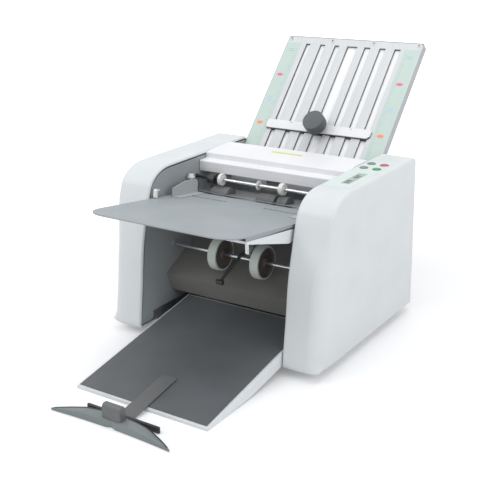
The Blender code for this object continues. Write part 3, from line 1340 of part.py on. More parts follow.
def hold_down(tie_rod):
    """The finger swings on a pin in a bracket that is moulded on the tie rod above it."""
    pin_radius = FINGER_RADIUS * 0.8
    drop = FINGER_ROD_LIFT
    pin_hole = circle((0, -drop), (pin_radius + GAP) / math.cos(math.pi / PIN_STEPS), PIN_STEPS)
    reach = ROD_RADIUS * 2
    bracket_line = [
        (-reach, reach * 0.8), (reach, reach * 0.8), (reach, -reach * 0.6),
        (reach / 2, -drop - reach / 2), (-reach / 2, -drop - reach / 2), (-reach, -drop),
    ]
    low = FINGER_X + FINGER_RADIUS * 1.5 + PLAY
    unite(tie_rod, "finger_bracket", plate("X", low, low + BRACKET_WIDTH, bracket_line, [pin_hole]))
    pivot = (FINGER_PIVOT_Y, FINGER_PIVOT_Z)
    route = [
        Vector((0, 0, 0)), Vector((-FINGER_SWAY * 0.15, -FINGER_REACH_Y * 0.16, -FINGER_DROP * 0.08)),
        Vector((-FINGER_SWAY * 0.55, -FINGER_REACH_Y * 0.55, -FINGER_DROP * 0.45)),
        Vector((-FINGER_SWAY, -FINGER_REACH_Y, -FINGER_DROP)),
    ]
    rings = []
    for index, place in enumerate(route):
        before = route[max(index - 1, 0)]
        after = route[min(index + 1, len(route) - 1)]
        heading = (after - before).normalized()
        side = heading.cross(AXES["X"]).normalized()
        up = side.cross(heading)
        ring = []
        for step in range(8):
            angle = math.tau * step / 8
            ring.append(place + (side * math.cos(angle) + up * math.sin(angle)) * FINGER_RADIUS)
        rings.append(ring)
    finger = piece("hold_down_finger", lofted(*rings), DARK_ABS, (FINGER_X, *pivot), smooth=True)
    pin_end = low + BRACKET_WIDTH - FINGER_X
    pin = turned([(0, 0), (pin_radius, 0), (pin_radius, pin_end), (0, pin_end)], "X", steps=PIN_STEPS)
    unite(finger, "finger_pin", pin)
    boss_radius = FINGER_RADIUS * 1.5
    boss_half = FINGER_RADIUS
    profile = [(0, -boss_half), (boss_radius, -boss_half), (boss_radius, boss_half), (0, boss_half)]
    unite(finger, "finger_boss", turned(profile, "X", steps=12))
    half = FINGER_KNOB_LENGTH / 2
    end = route[-1]
    profile = [
        (0, end.x - half), (FINGER_KNOB_RADIUS * 0.8, end.x - half),
        (FINGER_KNOB_RADIUS, end.x - half + PLAY), (FINGER_KNOB_RADIUS, end.x + half - PLAY),
        (FINGER_KNOB_RADIUS * 0.8, end.x + half), (0, end.x + half),
    ]
    unite(finger, "finger_roller", turned(profile, "X", (end.y, end.z), 14))


# Delivery tray: a wedge shell that stands on the floor in front and in the base pan behind

def tray_surface(y):
    """Height of the mat's upper face at y."""
    return TRAY_LIP + (y - TRAY_FRONT) * math.tan(TRAY_PITCH)


def delivery_tray():
    deck = MAT_SHEET / math.cos(TRAY_PITCH) + GAP
    seat_y = PAN_FRONT + PAN_FLANGE / 4
    seat_z = PAN_TOP + GAP
    slope = (seat_z - TRAY_KEEL_LIFT) / (seat_y - TRAY_FRONT - TRAY_KEEL)
    knee_y = TRAY_FRONT + TRAY_KEEL
    toe_y = TRAY_FRONT + TRAY_KEEL * 0.35
    shoulder = (PAN_FRONT - TRAY_WALL, TRAY_KEEL_LIFT + slope * (PAN_FRONT - TRAY_WALL - knee_y))
    outline = [
        (TRAY_FRONT, 0), (toe_y, 0), (knee_y, TRAY_KEEL_LIFT), shoulder, (PAN_FRONT - TRAY_WALL, seat_z),
        (TRAY_REAR, seat_z), (TRAY_REAR, tray_surface(TRAY_REAR) - deck), (TRAY_FRONT, TRAY_LIP - deck),
    ]
    left = TRAY_LEFT
    right = TRAY_RIGHT
    shell = plate("X", left, right, outline)
    underside = [face for face in shell.faces if face.normal.z < -0.9]
    bmesh.ops.delete(shell, geom=underside, context="FACES")
    tray = piece("delivery_tray", shell, GREY_ABS)
    thick = tray.modifiers.new("wall", "SOLIDIFY")
    thick.thickness = TRAY_WALL
    thick.offset = -1
    thick.use_even_offset = True
    mat_frame = frame_at("tray_surface_frame", (0, TRAY_FRONT, TRAY_LIP), (TRAY_PITCH, 0, 0))
    length = (TRAY_REAR - TRAY_FRONT) / math.cos(TRAY_PITCH)
    low = (left + MAT_EDGE, MAT_EDGE, -MAT_SHEET)
    high = (right - MAT_EDGE, length - MAT_EDGE, 0)
    piece("tray_mat", block(low, high), DARK_ABS, parent=mat_frame)


def wing_outline(height_share):
    """Crescent in plan: a nearly straight front with a notch, and an arc behind."""
    points = []
    front_shift = WING_CHAMFER * height_share
    for step in range(WING_STEPS + 1):
        share = 2 * step / WING_STEPS - 1
        dip = 1 - share * share
        y = WING_TIP_Y + WING_FRONT_BULGE * dip + front_shift * dip
        x = WING_CENTRE_X + share * WING_HALF_WIDTH
        if abs(share) < 1 / WING_STEPS:
            y += NOTCH_HALF_WIDTH / 3
        points.append((x, y))
    for step in range(1, WING_STEPS):
        share = 1 - 2 * step / WING_STEPS
        dip = 1 - share * share
        points.append((WING_CENTRE_X + share * WING_HALF_WIDTH, WING_TIP_Y + WING_REAR_BULGE * dip))
    return points


def front_stop():
    """A wing on the floor before the tray, with a strap that slides up over the mat."""
    origin_y = WING_TIP_Y + WING_REAR_BULGE
    slope = math.tan(TRAY_PITCH)
    rings = []
    for height_share in (0, 0.6, 1):
        ring = []
        for x, y in wing_outline(height_share):
            middle = 1 - abs(x - WING_CENTRE_X) / WING_HALF_WIDTH
            thickness_share = WING_TIP_SHARE + (1 - WING_TIP_SHARE) * min(1, 2 * middle)
            top = WING_LIFT + WING_HEIGHT * height_share * thickness_share
            ring.append((x, y - origin_y, top))
        rings.append(ring)
    wing = piece("front_stop", lofted(*rings), STOP_GREY, (0, origin_y, 0))
    line_z = tray_surface(origin_y)
    strap_low = WING_LIFT
    lift = GAP * 2
    start = -BLOCK_LENGTH / 2
    end = STRAP_END - origin_y
    strap = [
        (start, strap_low), (start + WING_LIFT, strap_low),
        (TRAY_FRONT - origin_y, max(strap_low, line_z + lift + slope * (TRAY_FRONT - origin_y))),
        (end, line_z + lift + slope * end), (end, line_z + lift + STRAP_SHEET + slope * end),
        (start + WING_HEIGHT / 2, WING_HEIGHT / 2 + STRAP_SHEET),
        (start, WING_HEIGHT / 2 + STRAP_SHEET),
    ]
    half = STRAP_WIDTH / 2
    strap_x = WING_CENTRE_X
    unite(wing, "stop_strap", plate("X", strap_x - half, strap_x + half, strap))
    half = BLOCK_WIDTH / 2
    floor_z = WING_LIFT + WING_HEIGHT / 2
    rear = BLOCK_LENGTH / 2
    block_line = [
        (-rear, floor_z), (rear * 0.6, floor_z), (rear * 0.6, BLOCK_HEIGHT * 0.8), (rear * 0.2, BLOCK_HEIGHT),
        (-rear * 0.6, BLOCK_HEIGHT), (-rear, BLOCK_HEIGHT * 0.85),
    ]
    grip = plate("X", WING_CENTRE_X - PLAY * 2 - half, WING_CENTRE_X - PLAY * 2 + half, block_line)
    grip.transform(Matrix.Translation((0, -rear, 0)))
    unite(wing, "stop_block", grip)


def centre_footprint():
    """Moves the assembly so that the middle of its footprint is the origin."""
    bpy.context.view_layer.update()
    graph = bpy.context.evaluated_depsgraph_get()
    lows = []
    highs = []
    for made in bpy.data.objects:
        if made.type != "MESH" or made.hide_render:
            continue
        seen = made.evaluated_get(graph)
        corners = [seen.matrix_world @ Vector(corner) for corner in seen.bound_box]
        lows.append(min(corner.y for corner in corners))
        highs.append(max(corner.y for corner in corners))
    machine.location.y = -(min(lows) + max(highs)) / 2


side_frames()
base()
finger_rod = tie_rods()
rear_cover()
top_cover()
control_panel()
power_entry()
feed_table()
table_skirt()
paper_guides()
side_controls()
throat()
separator()
fold_rollers()
fold_gears()
feed_rollers()
drive()
upper_fold_plate()
cross_stop()
lower_fold_plate()
stacker()
hold_down(finger_rod)
delivery_tray()
front_stop()
centre_footprint()
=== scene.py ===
import json
import math

import bmesh
import bpy
from mathutils import Matrix, Vector


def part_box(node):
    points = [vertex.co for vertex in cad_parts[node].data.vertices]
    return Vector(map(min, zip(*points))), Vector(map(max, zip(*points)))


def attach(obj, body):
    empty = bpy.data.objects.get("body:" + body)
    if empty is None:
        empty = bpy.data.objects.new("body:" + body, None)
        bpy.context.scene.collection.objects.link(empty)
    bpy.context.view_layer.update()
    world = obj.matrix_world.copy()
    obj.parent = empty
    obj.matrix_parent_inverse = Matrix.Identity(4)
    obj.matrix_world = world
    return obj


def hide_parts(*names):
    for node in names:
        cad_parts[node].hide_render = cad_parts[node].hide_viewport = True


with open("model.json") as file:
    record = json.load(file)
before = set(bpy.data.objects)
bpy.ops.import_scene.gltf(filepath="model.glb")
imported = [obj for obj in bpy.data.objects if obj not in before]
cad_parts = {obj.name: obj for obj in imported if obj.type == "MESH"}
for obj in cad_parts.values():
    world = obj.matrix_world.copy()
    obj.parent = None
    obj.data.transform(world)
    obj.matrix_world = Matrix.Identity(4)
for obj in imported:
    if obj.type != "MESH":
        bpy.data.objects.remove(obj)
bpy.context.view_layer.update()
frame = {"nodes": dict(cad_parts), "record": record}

bodyOf = {node: body for body, nodes in frame["record"]["behaviour"]["bodies"].items() for node in nodes}
mm = 0.001
footY = -0.14749           # the covers' front foot lies here along Y

# Three working planes: up the fold plate, down the feed table, up the delivery tray
plateTilt, tableTilt, trayTilt = (math.radians(degrees) for degrees in (46.9, -7.9, 9.48))
platePlane = Matrix.Translation((0, 0.23351, 0.300)) @ Matrix.Rotation(plateTilt, 4, "X")
tablePlane = Matrix.Translation((0, -0.29549, 0.316)) @ Matrix.Rotation(tableTilt, 4, "X")
trayPlane = Matrix.Translation((0, -0.38749, 0.008)) @ Matrix.Rotation(trayTilt, 4, "X")

# Stands a shape that was drawn in the plane of the machine's side: drawn X is depth, drawn Y is height
sidePlane = Matrix(((0, 0, 1, 0), (1, 0, 0, 0), (0, 1, 0, 0), (0, 0, 0, 1)))


# Colours and nodes

def linear(hexColour):
    channels = [int(hexColour[i:i + 2], 16) / 255 for i in (1, 3, 5)]
    return [c / 12.92 if c <= 0.04045 else ((c + 0.055) / 1.055) ** 2.4 for c in channels] + [1.0]


def addNode(tree, kind, inputs=None, sends=None, **settings):
    # inputs are values or sockets by name, sends says which sockets the outputs go to
    made = tree.nodes.new(kind)
    for name, value in settings.items():
        setattr(made, name, value)
    for key, value in (inputs or {}).items():
        if isinstance(value, bpy.types.NodeSocket):
            tree.links.new(value, made.inputs[key])
        else:
            made.inputs[key].default_value = value
    for key, socket in (sends or {}).items():
        tree.links.new(made.outputs[key], socket)
    return made


def startMaterial(name, **shaderInputs):
    material = bpy.data.materials.new(name)
    material.use_nodes = True
    tree = material.node_tree
    shader = tree.nodes["Principled BSDF"]
    for key, value in shaderInputs.items():
        shader.inputs[key.replace("_", " ")].default_value = value
    place = addNode(tree, "ShaderNodeTexCoord").outputs["Object"]
    return material, tree, shader, place


def closeMaterial(started, share, colours, relief, rough, bump, span=(0.3, 0.7)):
    # Two colours mixed by a share; roughness, and bump where the surface has one, follow the relief
    material, tree, shader, _ = started
    addNode(tree, "ShaderNodeMix", {0: share, 6: colours[0], 7: colours[1]}, {2: shader.inputs["Base Color"]},
            data_type="RGBA")
    addNode(tree, "ShaderNodeMapRange", {"Value": relief, "From Min": span[0], "From Max": span[1],
                                         "To Min": rough[0], "To Max": rough[1]},
            {"Result": shader.inputs["Roughness"]})
    if bump:
        addNode(tree, "ShaderNodeBump", {"Height": relief, "Strength": bump[0], "Distance": bump[1]},
                {"Normal": shader.inputs["Normal"]})
    return material


def surface(name, colours, broad, fine, rough, bump, tint=(0.0, 1.0, 1.0), stretch=(1, 1, 1), **shaderInputs):
    # A broad noise mixes the colours; a fine one, which may be stretched, is the relief
    # Both noises are given by their size and their detail
    material, tree, shader, place = startMaterial(name, **shaderInputs)
    cloud = addNode(tree, "ShaderNodeTexNoise", {"Vector": place, "Scale": 1 / broad[0], "Detail": broad[1]})
    share = addNode(tree, "ShaderNodeMapRange", {"Value": cloud.outputs["Fac"], "From Min": tint[0],
                                                 "From Max": tint[1], "To Max": tint[2]})
    drawn = addNode(tree, "ShaderNodeMapping", {"Vector": place, "Scale": stretch})
    relief = addNode(tree, "ShaderNodeTexNoise", {"Vector": drawn.outputs["Vector"], "Scale": 1 / fine[0],
                                                  "Detail": fine[1]})
    return closeMaterial((material, tree, shader, place), share.outputs["Result"],
                         [linear(c) for c in colours], relief.outputs["Fac"], rough, bump)


# Materials

def mouldedPlastic(name, colour, shade, roughness, grainSize=0.7 * mm, grainDepth=0.03 * mm, coat=0.0):
    # Injection-moulded ABS: a spark-eroded grain breaks the highlight, and the colour drifts very slightly
    return surface(name, (colour, shade), (90 * mm, 2.0), (grainSize, 4.0),
                   (roughness - 0.05, roughness + 0.06),
                   (0.35, grainDepth), (0.3, 0.7, 1.0), IOR=1.53, Coat_Weight=coat, Coat_Roughness=0.2)


def powderCoat(name, colour, shade):
    # Powder-coated steel: orange peel about 1.5 mm across, half gloss
    return surface(name, (colour, shade), (60 * mm, 3.0), (1.5 * mm, 2.0), (0.38, 0.52), (0.4, 0.05 * mm),
                   IOR=1.5)


def rolledEnamel(name, colour, shade, roughness=0.4):
    # Baked enamel on rolled sheet: the mill's lines run up the plate, really 0.3 mm apart and drawn at 1.5 mm
    material, tree, shader, place = startMaterial(name, IOR=1.5)
    level = addNode(tree, "ShaderNodeMapping", {"Vector": place, "Rotation": (-plateTilt, 0, 0)})
    drawn = addNode(tree, "ShaderNodeMapping", {"Vector": level.outputs["Vector"], "Scale": (1, 0.02, 1)})
    lines = addNode(tree, "ShaderNodeTexNoise", {"Vector": drawn.outputs["Vector"], "Scale": 1 / (1.5 * mm),
                                                 "Detail": 3.0})
    share = addNode(tree, "ShaderNodeMapRange", {"Value": lines.outputs["Fac"], "From Min": 0.35,
                                                 "From Max": 0.65})
    streaked = addNode(tree, "ShaderNodeMix", {0: share.outputs["Result"], 6: linear(colour),
                                               7: linear(shade)},
                       data_type="RGBA")
    cloud = addNode(tree, "ShaderNodeTexNoise", {"Vector": place, "Scale": 1 / (50 * mm), "Detail": 2.0})
    dull = addNode(tree, "ShaderNodeMapRange", {"Value": cloud.outputs["Fac"], "From Min": 0.3,
                                                "From Max": 0.7, "To Max": 0.25})
    return closeMaterial((material, tree, shader, place), dull.outputs["Result"],
                         (streaked.outputs[2], linear(shade)), lines.outputs["Fac"],
                         (roughness - 0.06, roughness + 0.08), (0.25, 0.02 * mm))


def groundSteel(name, colour, roughness):
    # Centreless-ground steel: rings of fine scratches round the shaft, which runs along X; drawn at 0.25 mm
    return surface(name, (colour, "#B9BBBE"), (30 * mm, 4.0), (0.25 * mm, 2.0),
                   (roughness - 0.06, roughness + 0.1),
                   (0.3, 0.01 * mm), (0.3, 0.7, 1.0), (1, 0.05, 0.05), Metallic=1.0)


def zincPlate(name, colour, shade):
    # Electroplated zinc: a soft crystal bloom, a few millimetres across
    material, tree, shader, place = startMaterial(name, Metallic=1.0)
    bloom = addNode(tree, "ShaderNodeTexVoronoi", {"Vector": place, "Scale": 1 / (6 * mm)})
    cloud = addNode(tree, "ShaderNodeTexNoise", {"Vector": place, "Scale": 1 / (25 * mm), "Detail": 4.0})
    return closeMaterial((material, tree, shader, place), cloud.outputs["Fac"],
                         (linear(colour), linear(shade)),
                         bloom.outputs["Distance"], (0.32, 0.5), (0.1, 0.02 * mm), (0.0, 0.8))


def groundRubber(name, colour, dust, roughness=0.75, grit=0.5 * mm):
    # Ground rubber: matt, with paper dust held in the fine grit of the surface
    return surface(name, (colour, dust), (18 * mm, 5.0), (grit, 4.0), (roughness - 0.1, roughness + 0.1),
                   (0.5, 0.05 * mm), (0.45, 0.75, 0.5), IOR=1.52, Sheen_Weight=0.15)


def printedFilm(name, colour, shade):
    # Screen-printed polyester film: even colour, a fine hard-coat texture and a thin clear top
    return surface(name, (colour, shade), (40 * mm, 2.0), (0.5 * mm, 3.0), (0.4, 0.55), (0.2, 0.01 * mm),
                   IOR=1.57, Coat_Weight=0.15, Coat_Roughness=0.3)


def castAcrylic(name, colour, shade):
    # Cast acrylic over a liquid-crystal display: glossy, dark in its depth, faintly uneven
    return surface(name, (colour, shade), (14 * mm, 2.0), (2 * mm, 3.0), (0.15, 0.25), None,
                   IOR=1.49, Coat_Weight=0.6, Coat_Roughness=0.08)


coverAbs = mouldedPlastic("lightGreyMouldedAbs", "#DEE2E4", "#D8DCDE", 0.46)
lidAbs = mouldedPlastic("whiteMouldedAbs", "#EEEEF1", "#E9E9EC", 0.42)
skirtAbs = mouldedPlastic("paleMouldedAbs", "#E4E8EA", "#DEE2E4", 0.45)
tableAbs = mouldedPlastic("midGreyMouldedAbs", "#9CA3A7", "#949B9F", 0.5, 1.0 * mm, 0.06 * mm)
guideAbs = mouldedPlastic("silverGreyMouldedAbs", "#B4B8BA", "#ABAFB1", 0.45)
stopAbs = mouldedPlastic("slateMouldedAbs", "#7F8787", "#767E7E", 0.36)
blockAbs = mouldedPlastic("darkSlateMouldedAbs", "#686A6B", "#5F6162", 0.36)
matAbs = mouldedPlastic("darkLeatherGrainAbs", "#606366", "#575A5D", 0.5, 1.4 * mm, 0.09 * mm)
blackAbs = mouldedPlastic("blackMouldedAbs", "#2A2B2C", "#232425", 0.45)
knobAbs = mouldedPlastic("charcoalMouldedAbs", "#575D60", "#4E5356", 0.42)
acetal = mouldedPlastic("whiteAcetal", "#EDEDEA", "#E2E2DE", 0.32, 0.8 * mm, 0.01 * mm, 0.1)
wheelFace = mouldedPlastic("brownGreyNylon", "#7C746E", "#6B635E", 0.5)
wheelTyre = groundRubber("palePolyurethane", "#DCE4DD", "#C7D0C8", 0.55, 0.8 * mm)
framePaint = powderCoat("greyPowderCoat", "#A4AAAC", "#999FA1")
bayPaint = powderCoat("stoneGreyPowderCoat", "#8B8986", "#807E7B")
platePaint = rolledEnamel("whiteRolledEnamel", "#DDDFE0", "#CFD2D4")
landPaint = rolledEnamel("brightRolledEnamel", "#FAFAFB", "#F4F5F6", 0.35)
edgePaint = powderCoat("silverGreyPowderCoat", "#B4B9BA", "#A9AEAF")
shaftSteel = groundSteel("groundSteel", "#D4D6D8", 0.24)
screwSteel = powderCoat("blackPaintedScrewSteel", "#404142", "#363738")
zinc = zincPlate("zincPlatedSteel", "#A8ABAE", "#CACCCE")
foldRubber = groundRubber("greyNitrileRubber", "#8C8E8F", "#A8A9A8")
tyreRubber = groundRubber("darkNitrileRubber", "#646566", "#8A8987")
footRubber = groundRubber("blackFootRubber", "#232425", "#4A4947")
beltRubber = groundRubber("blackBeltRubber", "#202122", "#3C3B39")
scaleFilm = printedFilm("sageScaleFilm", "#C5D5CF", "#BECFC8")
panelFilm = printedFilm("paleMintPanelFilm", "#DAE6E1", "#D4E1DB")
inkGreen = printedFilm("sageInk", "#8FB3A4", "#86AA9B")
inkPink = printedFilm("palePinkInk", "#E6B3C0", "#DFA8B6")
inkRed = printedFilm("roseInk", "#D8718B", "#CF6681")
inkBlue = printedFilm("paleBlueInk", "#BCD0D9", "#B4C9D3")
inkOrange = printedFilm("orangeInk", "#E9906B", "#E2855E")
inkPeach = printedFilm("peachInk", "#EDB79C", "#E7AC8F")
inkLime = printedFilm("limeInk", "#DADC7E", "#D2D474")
redKey = mouldedPlastic("redKeyAbs", "#BC4860", "#AE3E56", 0.35, 0.8 * mm, 0.01 * mm, 0.2)
greenKey = mouldedPlastic("greenKeyAbs", "#2F8A66", "#2A7E5C", 0.35, 0.8 * mm, 0.01 * mm, 0.2)
greyKey = mouldedPlastic("greyKeyAbs", "#76847F", "#6C7A75", 0.38, 0.8 * mm, 0.01 * mm, 0.2)
lens = castAcrylic("paleAcrylic", "#A9B6B0", "#98A69F")
segmentInk = printedFilm("displaySegmentInk", "#1C2421", "#171E1B")
board = mouldedPlastic("greenSolderMask", "#1F5A3A", "#1A4F33", 0.4)
print("materials made")


# Meshes

def lathe(profile, axis="X", centre=(0, 0, 0), steps=64, flutes=0, fluteDepth=0.0, fluted=()):
    # profile is a list of (radius, distance along the axis); fluted names the profile points that are fluted
    shape = bmesh.new()
    rings = []
    for index, (radius, distance) in enumerate(profile):
        ring = []
        for step in range(steps):
            angle = math.tau * step / steps
            reach = radius
            if index in fluted:
                reach -= fluteDepth * (0.5 - 0.5 * math.cos(angle * flutes))
            ring.append(shape.verts.new((reach * math.cos(angle), reach * math.sin(angle), distance)))
        rings.append(ring)
    for near, far in zip(rings, rings[1:]):
        for i in range(steps):
            shape.faces.new((near[i - 1], near[i], far[i], far[i - 1]))
    if profile[0] != profile[-1]:
        shape.faces.new(rings[0])
        shape.faces.new(rings[-1])
    bmesh.ops.remove_doubles(shape, verts=shape.verts[:], dist=0.001 * mm)
    bmesh.ops.recalc_face_normals(shape, faces=shape.faces[:])
    turn = Matrix.Rotation(math.pi / 2, 4, "Y") if axis == "X" else Matrix.Identity(4)
    shape.transform(Matrix.Translation(centre) @ turn)
    return shape


def sheetOf(outline, low, high, holes=()):
    # A flat outline in X and Y with holes, from low to high along Z
    shape = bmesh.new()
    for ring in (outline, *holes):
        points = [shape.verts.new((x, y, low)) for x, y in ring]
        for i in range(len(points)):
            shape.edges.new((points[i - 1], points[i]))
    bmesh.ops.triangle_fill(shape, use_beauty=True, edges=shape.edges[:])
    bmesh.ops.dissolve_limit(shape, angle_limit=0.01, verts=shape.verts[:], edges=shape.edges[:])
    grown = bmesh.ops.extrude_face_region(shape, geom=shape.faces[:])
    tops = [v for v in grown["geom"] if isinstance(v, bmesh.types.BMVert)]
    bmesh.ops.translate(shape, verts=tops, vec=(0, 0, high - low))
    bmesh.ops.recalc_face_normals(shape, faces=shape.faces[:])
    return shape


def roundedBox(x0, y0, x1, y1, radius, steps=6):
    outline = []
    for cx, cy, start in ((x1 - radius, y1 - radius, 0), (x0 + radius, y1 - radius, 90),
                          (x0 + radius, y0 + radius, 180), (x1 - radius, y0 + radius, 270)):
        for step in range(steps + 1):
            angle = math.radians(start + 90 * step / steps)
            outline.append((cx + radius * math.cos(angle), cy + radius * math.sin(angle)))
    return outline


def ellipse(cx, cy, a, b, steps=32):
    return [(cx + a * math.cos(math.tau * i / steps),
             cy + b * math.sin(math.tau * i / steps)) for i in range(steps)]


def addShape(whole, extra):
    # Adds one bmesh to another
    mesh = bpy.data.meshes.new("added")
    extra.to_mesh(mesh)
    extra.free()
    whole.from_mesh(mesh)
    bpy.data.meshes.remove(mesh)


def plainMesh(piece):
    bpy.context.view_layer.update()
    graph = bpy.context.evaluated_depsgraph_get()
    return bpy.data.meshes.new_from_object(piece.evaluated_get(graph))


def applied(piece):
    baked = plainMesh(piece)
    piece.modifiers.clear()
    piece.data = baked


def finishedMesh(name, mesh, material, node=None, body=None, bevel=0.0, segments=2, smooth=None):
    # Makes a mesh a finished piece: edges broken, shading weighted to the large faces, riding on its body
    piece = bpy.data.objects.new(name, mesh)
    bpy.context.scene.collection.objects.link(piece)
    if bevel:
        edges = piece.modifiers.new("edges", "BEVEL")
        edges.width = bevel
        edges.segments = segments
        edges.limit_method = "ANGLE"
        edges.angle_limit = math.radians(30)
        edges.use_clamp_overlap = True
        applied(piece)
    piece.data.shade_smooth()
    piece.data.set_sharp_from_angle(angle=math.radians(smooth or (50 if bevel else 30)))
    even = piece.modifiers.new("evenShading", "WEIGHTED_NORMAL")
    even.mode = "FACE_AREA"
    even.weight = 50
    even.keep_sharp = True
    applied(piece)
    for index, each in enumerate(material if isinstance(material, list) else [material]):
        if index < len(piece.data.materials):
            piece.data.materials[index] = each
        else:
            piece.data.materials.append(each)
    if node:
        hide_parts(node)
    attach(piece, body or bodyOf[node])


def finished(name, shape, material, plane=None, **how):
    if plane is not None:
        shape.transform(plane)
    mesh = bpy.data.meshes.new(name)
    shape.to_mesh(mesh)
    shape.free()
    finishedMesh(name, mesh, material, **how)


def nodeShape(node):
    # A merged copy of a CAD node, its flat faces joined up again
    shape = bmesh.new()
    shape.from_mesh(frame["nodes"][node].data)
    bmesh.ops.remove_doubles(shape, verts=shape.verts[:], dist=0.005 * mm)
    bmesh.ops.dissolve_limit(shape, angle_limit=math.radians(0.4), verts=shape.verts[:], edges=shape.edges[:])
    bmesh.ops.recalc_face_normals(shape, faces=shape.faces[:])
    return shape


def dressed(node, name, material, bevel=0.4 * mm, segments=2, smooth=None):
    finished(name, nodeShape(node), material, node=node, bevel=bevel, segments=segments, smooth=smooth)


def painted(node, material):
    holder = frame["nodes"][node]
    holder.data.materials.clear()
    holder.data.materials.append(material)


# Geometry Nodes: blocks in a row, and screw heads on given points

def makeTree(name, sockets):
    tree = bpy.data.node_groups.new(name, "GeometryNodeTree")
    tree.interface.new_socket("Geometry", in_out="INPUT", socket_type="NodeSocketGeometry")
    for label, kind in sockets:
        tree.interface.new_socket(label, in_out="INPUT", socket_type=kind)
    tree.interface.new_socket("Geometry", in_out="OUTPUT", socket_type="NodeSocketGeometry")
    return tree, addNode(tree, "NodeGroupInput"), addNode(tree, "NodeGroupOutput")


def closeTree(tree, given, output, instances):
    real = addNode(tree, "GeometryNodeRealizeInstances", {0: instances})
    addNode(tree, "GeometryNodeSetMaterial", {0: real.outputs[0], "Material": given.outputs["Material"]},
            {0: output.inputs[0]})


def runTree(name, tree, values, points=((0, 0, 0),)):
    mesh = bpy.data.meshes.new(name)
    mesh.from_pydata([tuple(p) for p in points], [], [])
    holder = bpy.data.objects.new(name, mesh)
    bpy.context.scene.collection.objects.link(holder)
    modifier = holder.modifiers.new("nodes", "NODES")
    modifier.node_group = tree
    for socket in tree.interface.items_tree:
        if socket.in_out == "INPUT" and socket.name in values:
            modifier[socket.identifier] = values[socket.name]
    made = plainMesh(holder)
    bpy.data.objects.remove(holder)
    return made


def rowTree():
    tree, given, output = makeTree("blocksInARow", [
        ("Count", "NodeSocketInt"), ("Start", "NodeSocketVector"), ("Step", "NodeSocketVector"),
        ("Size", "NodeSocketVector"), ("Material", "NodeSocketMaterial")])
    line = addNode(tree, "GeometryNodeMeshLine", {
        "Count": given.outputs["Count"], "Start Location": given.outputs["Start"],
        "Offset": given.outputs["Step"],
    }, mode="OFFSET")
    block = addNode(tree, "GeometryNodeMeshCube", {"Size": given.outputs["Size"]})
    placed = addNode(tree, "GeometryNodeInstanceOnPoints", {"Points": line.outputs[0],
                                                            "Instance": block.outputs[0]})
    closeTree(tree, given, output, placed.outputs[0])
    return tree


def screwTree():
    # A truncated cone with a cross recess on every point of the given mesh, heads up along Z
    tree, given, output = makeTree("screwHeads", [
        ("Radius", "NodeSocketFloat"), ("Top", "NodeSocketFloat"), ("Height", "NodeSocketFloat"),
        ("Recess", "NodeSocketVector"), ("RecessAcross", "NodeSocketVector"), ("Lift", "NodeSocketVector"),
        ("Material", "NodeSocketMaterial")])
    head = addNode(tree, "GeometryNodeMeshCone", {
        "Vertices": 24, "Radius Top": given.outputs["Top"], "Radius Bottom": given.outputs["Radius"],
        "Depth": given.outputs["Height"]})
    cross = addNode(tree, "GeometryNodeJoinGeometry")
    for label in ("Recess", "RecessAcross"):
        addNode(tree, "GeometryNodeMeshCube", {"Size": given.outputs[label]}, {0: cross.inputs[0]})
    lifted = addNode(tree, "GeometryNodeTransform", {"Geometry": cross.outputs[0],
                                                     "Translation": given.outputs["Lift"]})
    cutHead = addNode(tree, "GeometryNodeMeshBoolean", {0: head.outputs[0], 1: lifted.outputs[0]},
                      operation="DIFFERENCE")
    placed = addNode(tree, "GeometryNodeInstanceOnPoints", {"Points": given.outputs["Geometry"],
                                                            "Instance": cutHead.outputs[0]})
    closeTree(tree, given, output, placed.outputs[0])
    return tree


blocksInARow = rowTree()
screwHeads = screwTree()
screwShares = {"top": 0.72, "slot": 0.3, "lift": 1.3}       # of the radius, the radius and the height


def row(name, count, start, step, size, material, body, plane=None):
    mesh = runTree(name, blocksInARow, {"Count": count, "Start": start, "Step": step, "Size": size,
                                        "Material": material})
    if plane is not None:
        mesh.transform(plane)
    finishedMesh(name, mesh, material, body=body)


def screws(name, points, plane, radius, height, body, metal):
    slot = radius * screwShares["slot"]
    mesh = runTree(name, screwHeads, {
        "Radius": radius, "Top": radius * screwShares["top"], "Height": height,
        "Recess": (radius, slot, height),
        "RecessAcross": (slot, radius, height), "Lift": (0, 0, height * screwShares["lift"]),
        "Material": metal}, points)
    mesh.transform(plane)
    finishedMesh(name, mesh, metal, body=body)


# Side covers: a closed shell of constant wall, whose outer rounding narrows towards the nose

covers = {
    "outer": 0.251, "inner": 0.173, "bottom": 0.015, "top": 0.344, "depth": 0.419, "toe": 0.009,
    "lean": 0.052, "noseBack": 0.125, "noseDrop": 0.054, "rearCorner": 0.010, "sideRounding": 0.028,
    "topRounding": 0.007, "fadeFrom": 0.185, "fadeTo": 0.285, "footDepth": 0.0085, "footFrom": 0.016,
    "footTo": 0.045, "footBack": 0.072, "rim": 0.005, "wall": 0.003,
    "leanShares": [(0.0, 0.0), (0.08, 0.05), (0.30, 0.22), (0.66, 0.48), (0.85, 0.74)],
    "noseAngles": (13, 24, 35, 46, 57, 68, 79, 90),
    "openings": [
        ((0.179, 0.0165, 0.330), (0.2325, 0.2005, 0.352)),         # control panel
        ((0.1977, 0.2600, 0.0587), (0.2263, 0.2800, 0.0813)),      # power inlet
        ((0.2047, 0.2600, 0.0915), (0.2193, 0.2800, 0.1125)),      # power switch
    ],
}


def eased(value, start, end):
    share = min(max((value - start) / (end - start), 0.0), 1.0)
    return share * share * (3 - 2 * share)


def quarter(steps):
    return [math.pi / 2 * step / steps for step in range(steps + 1)]


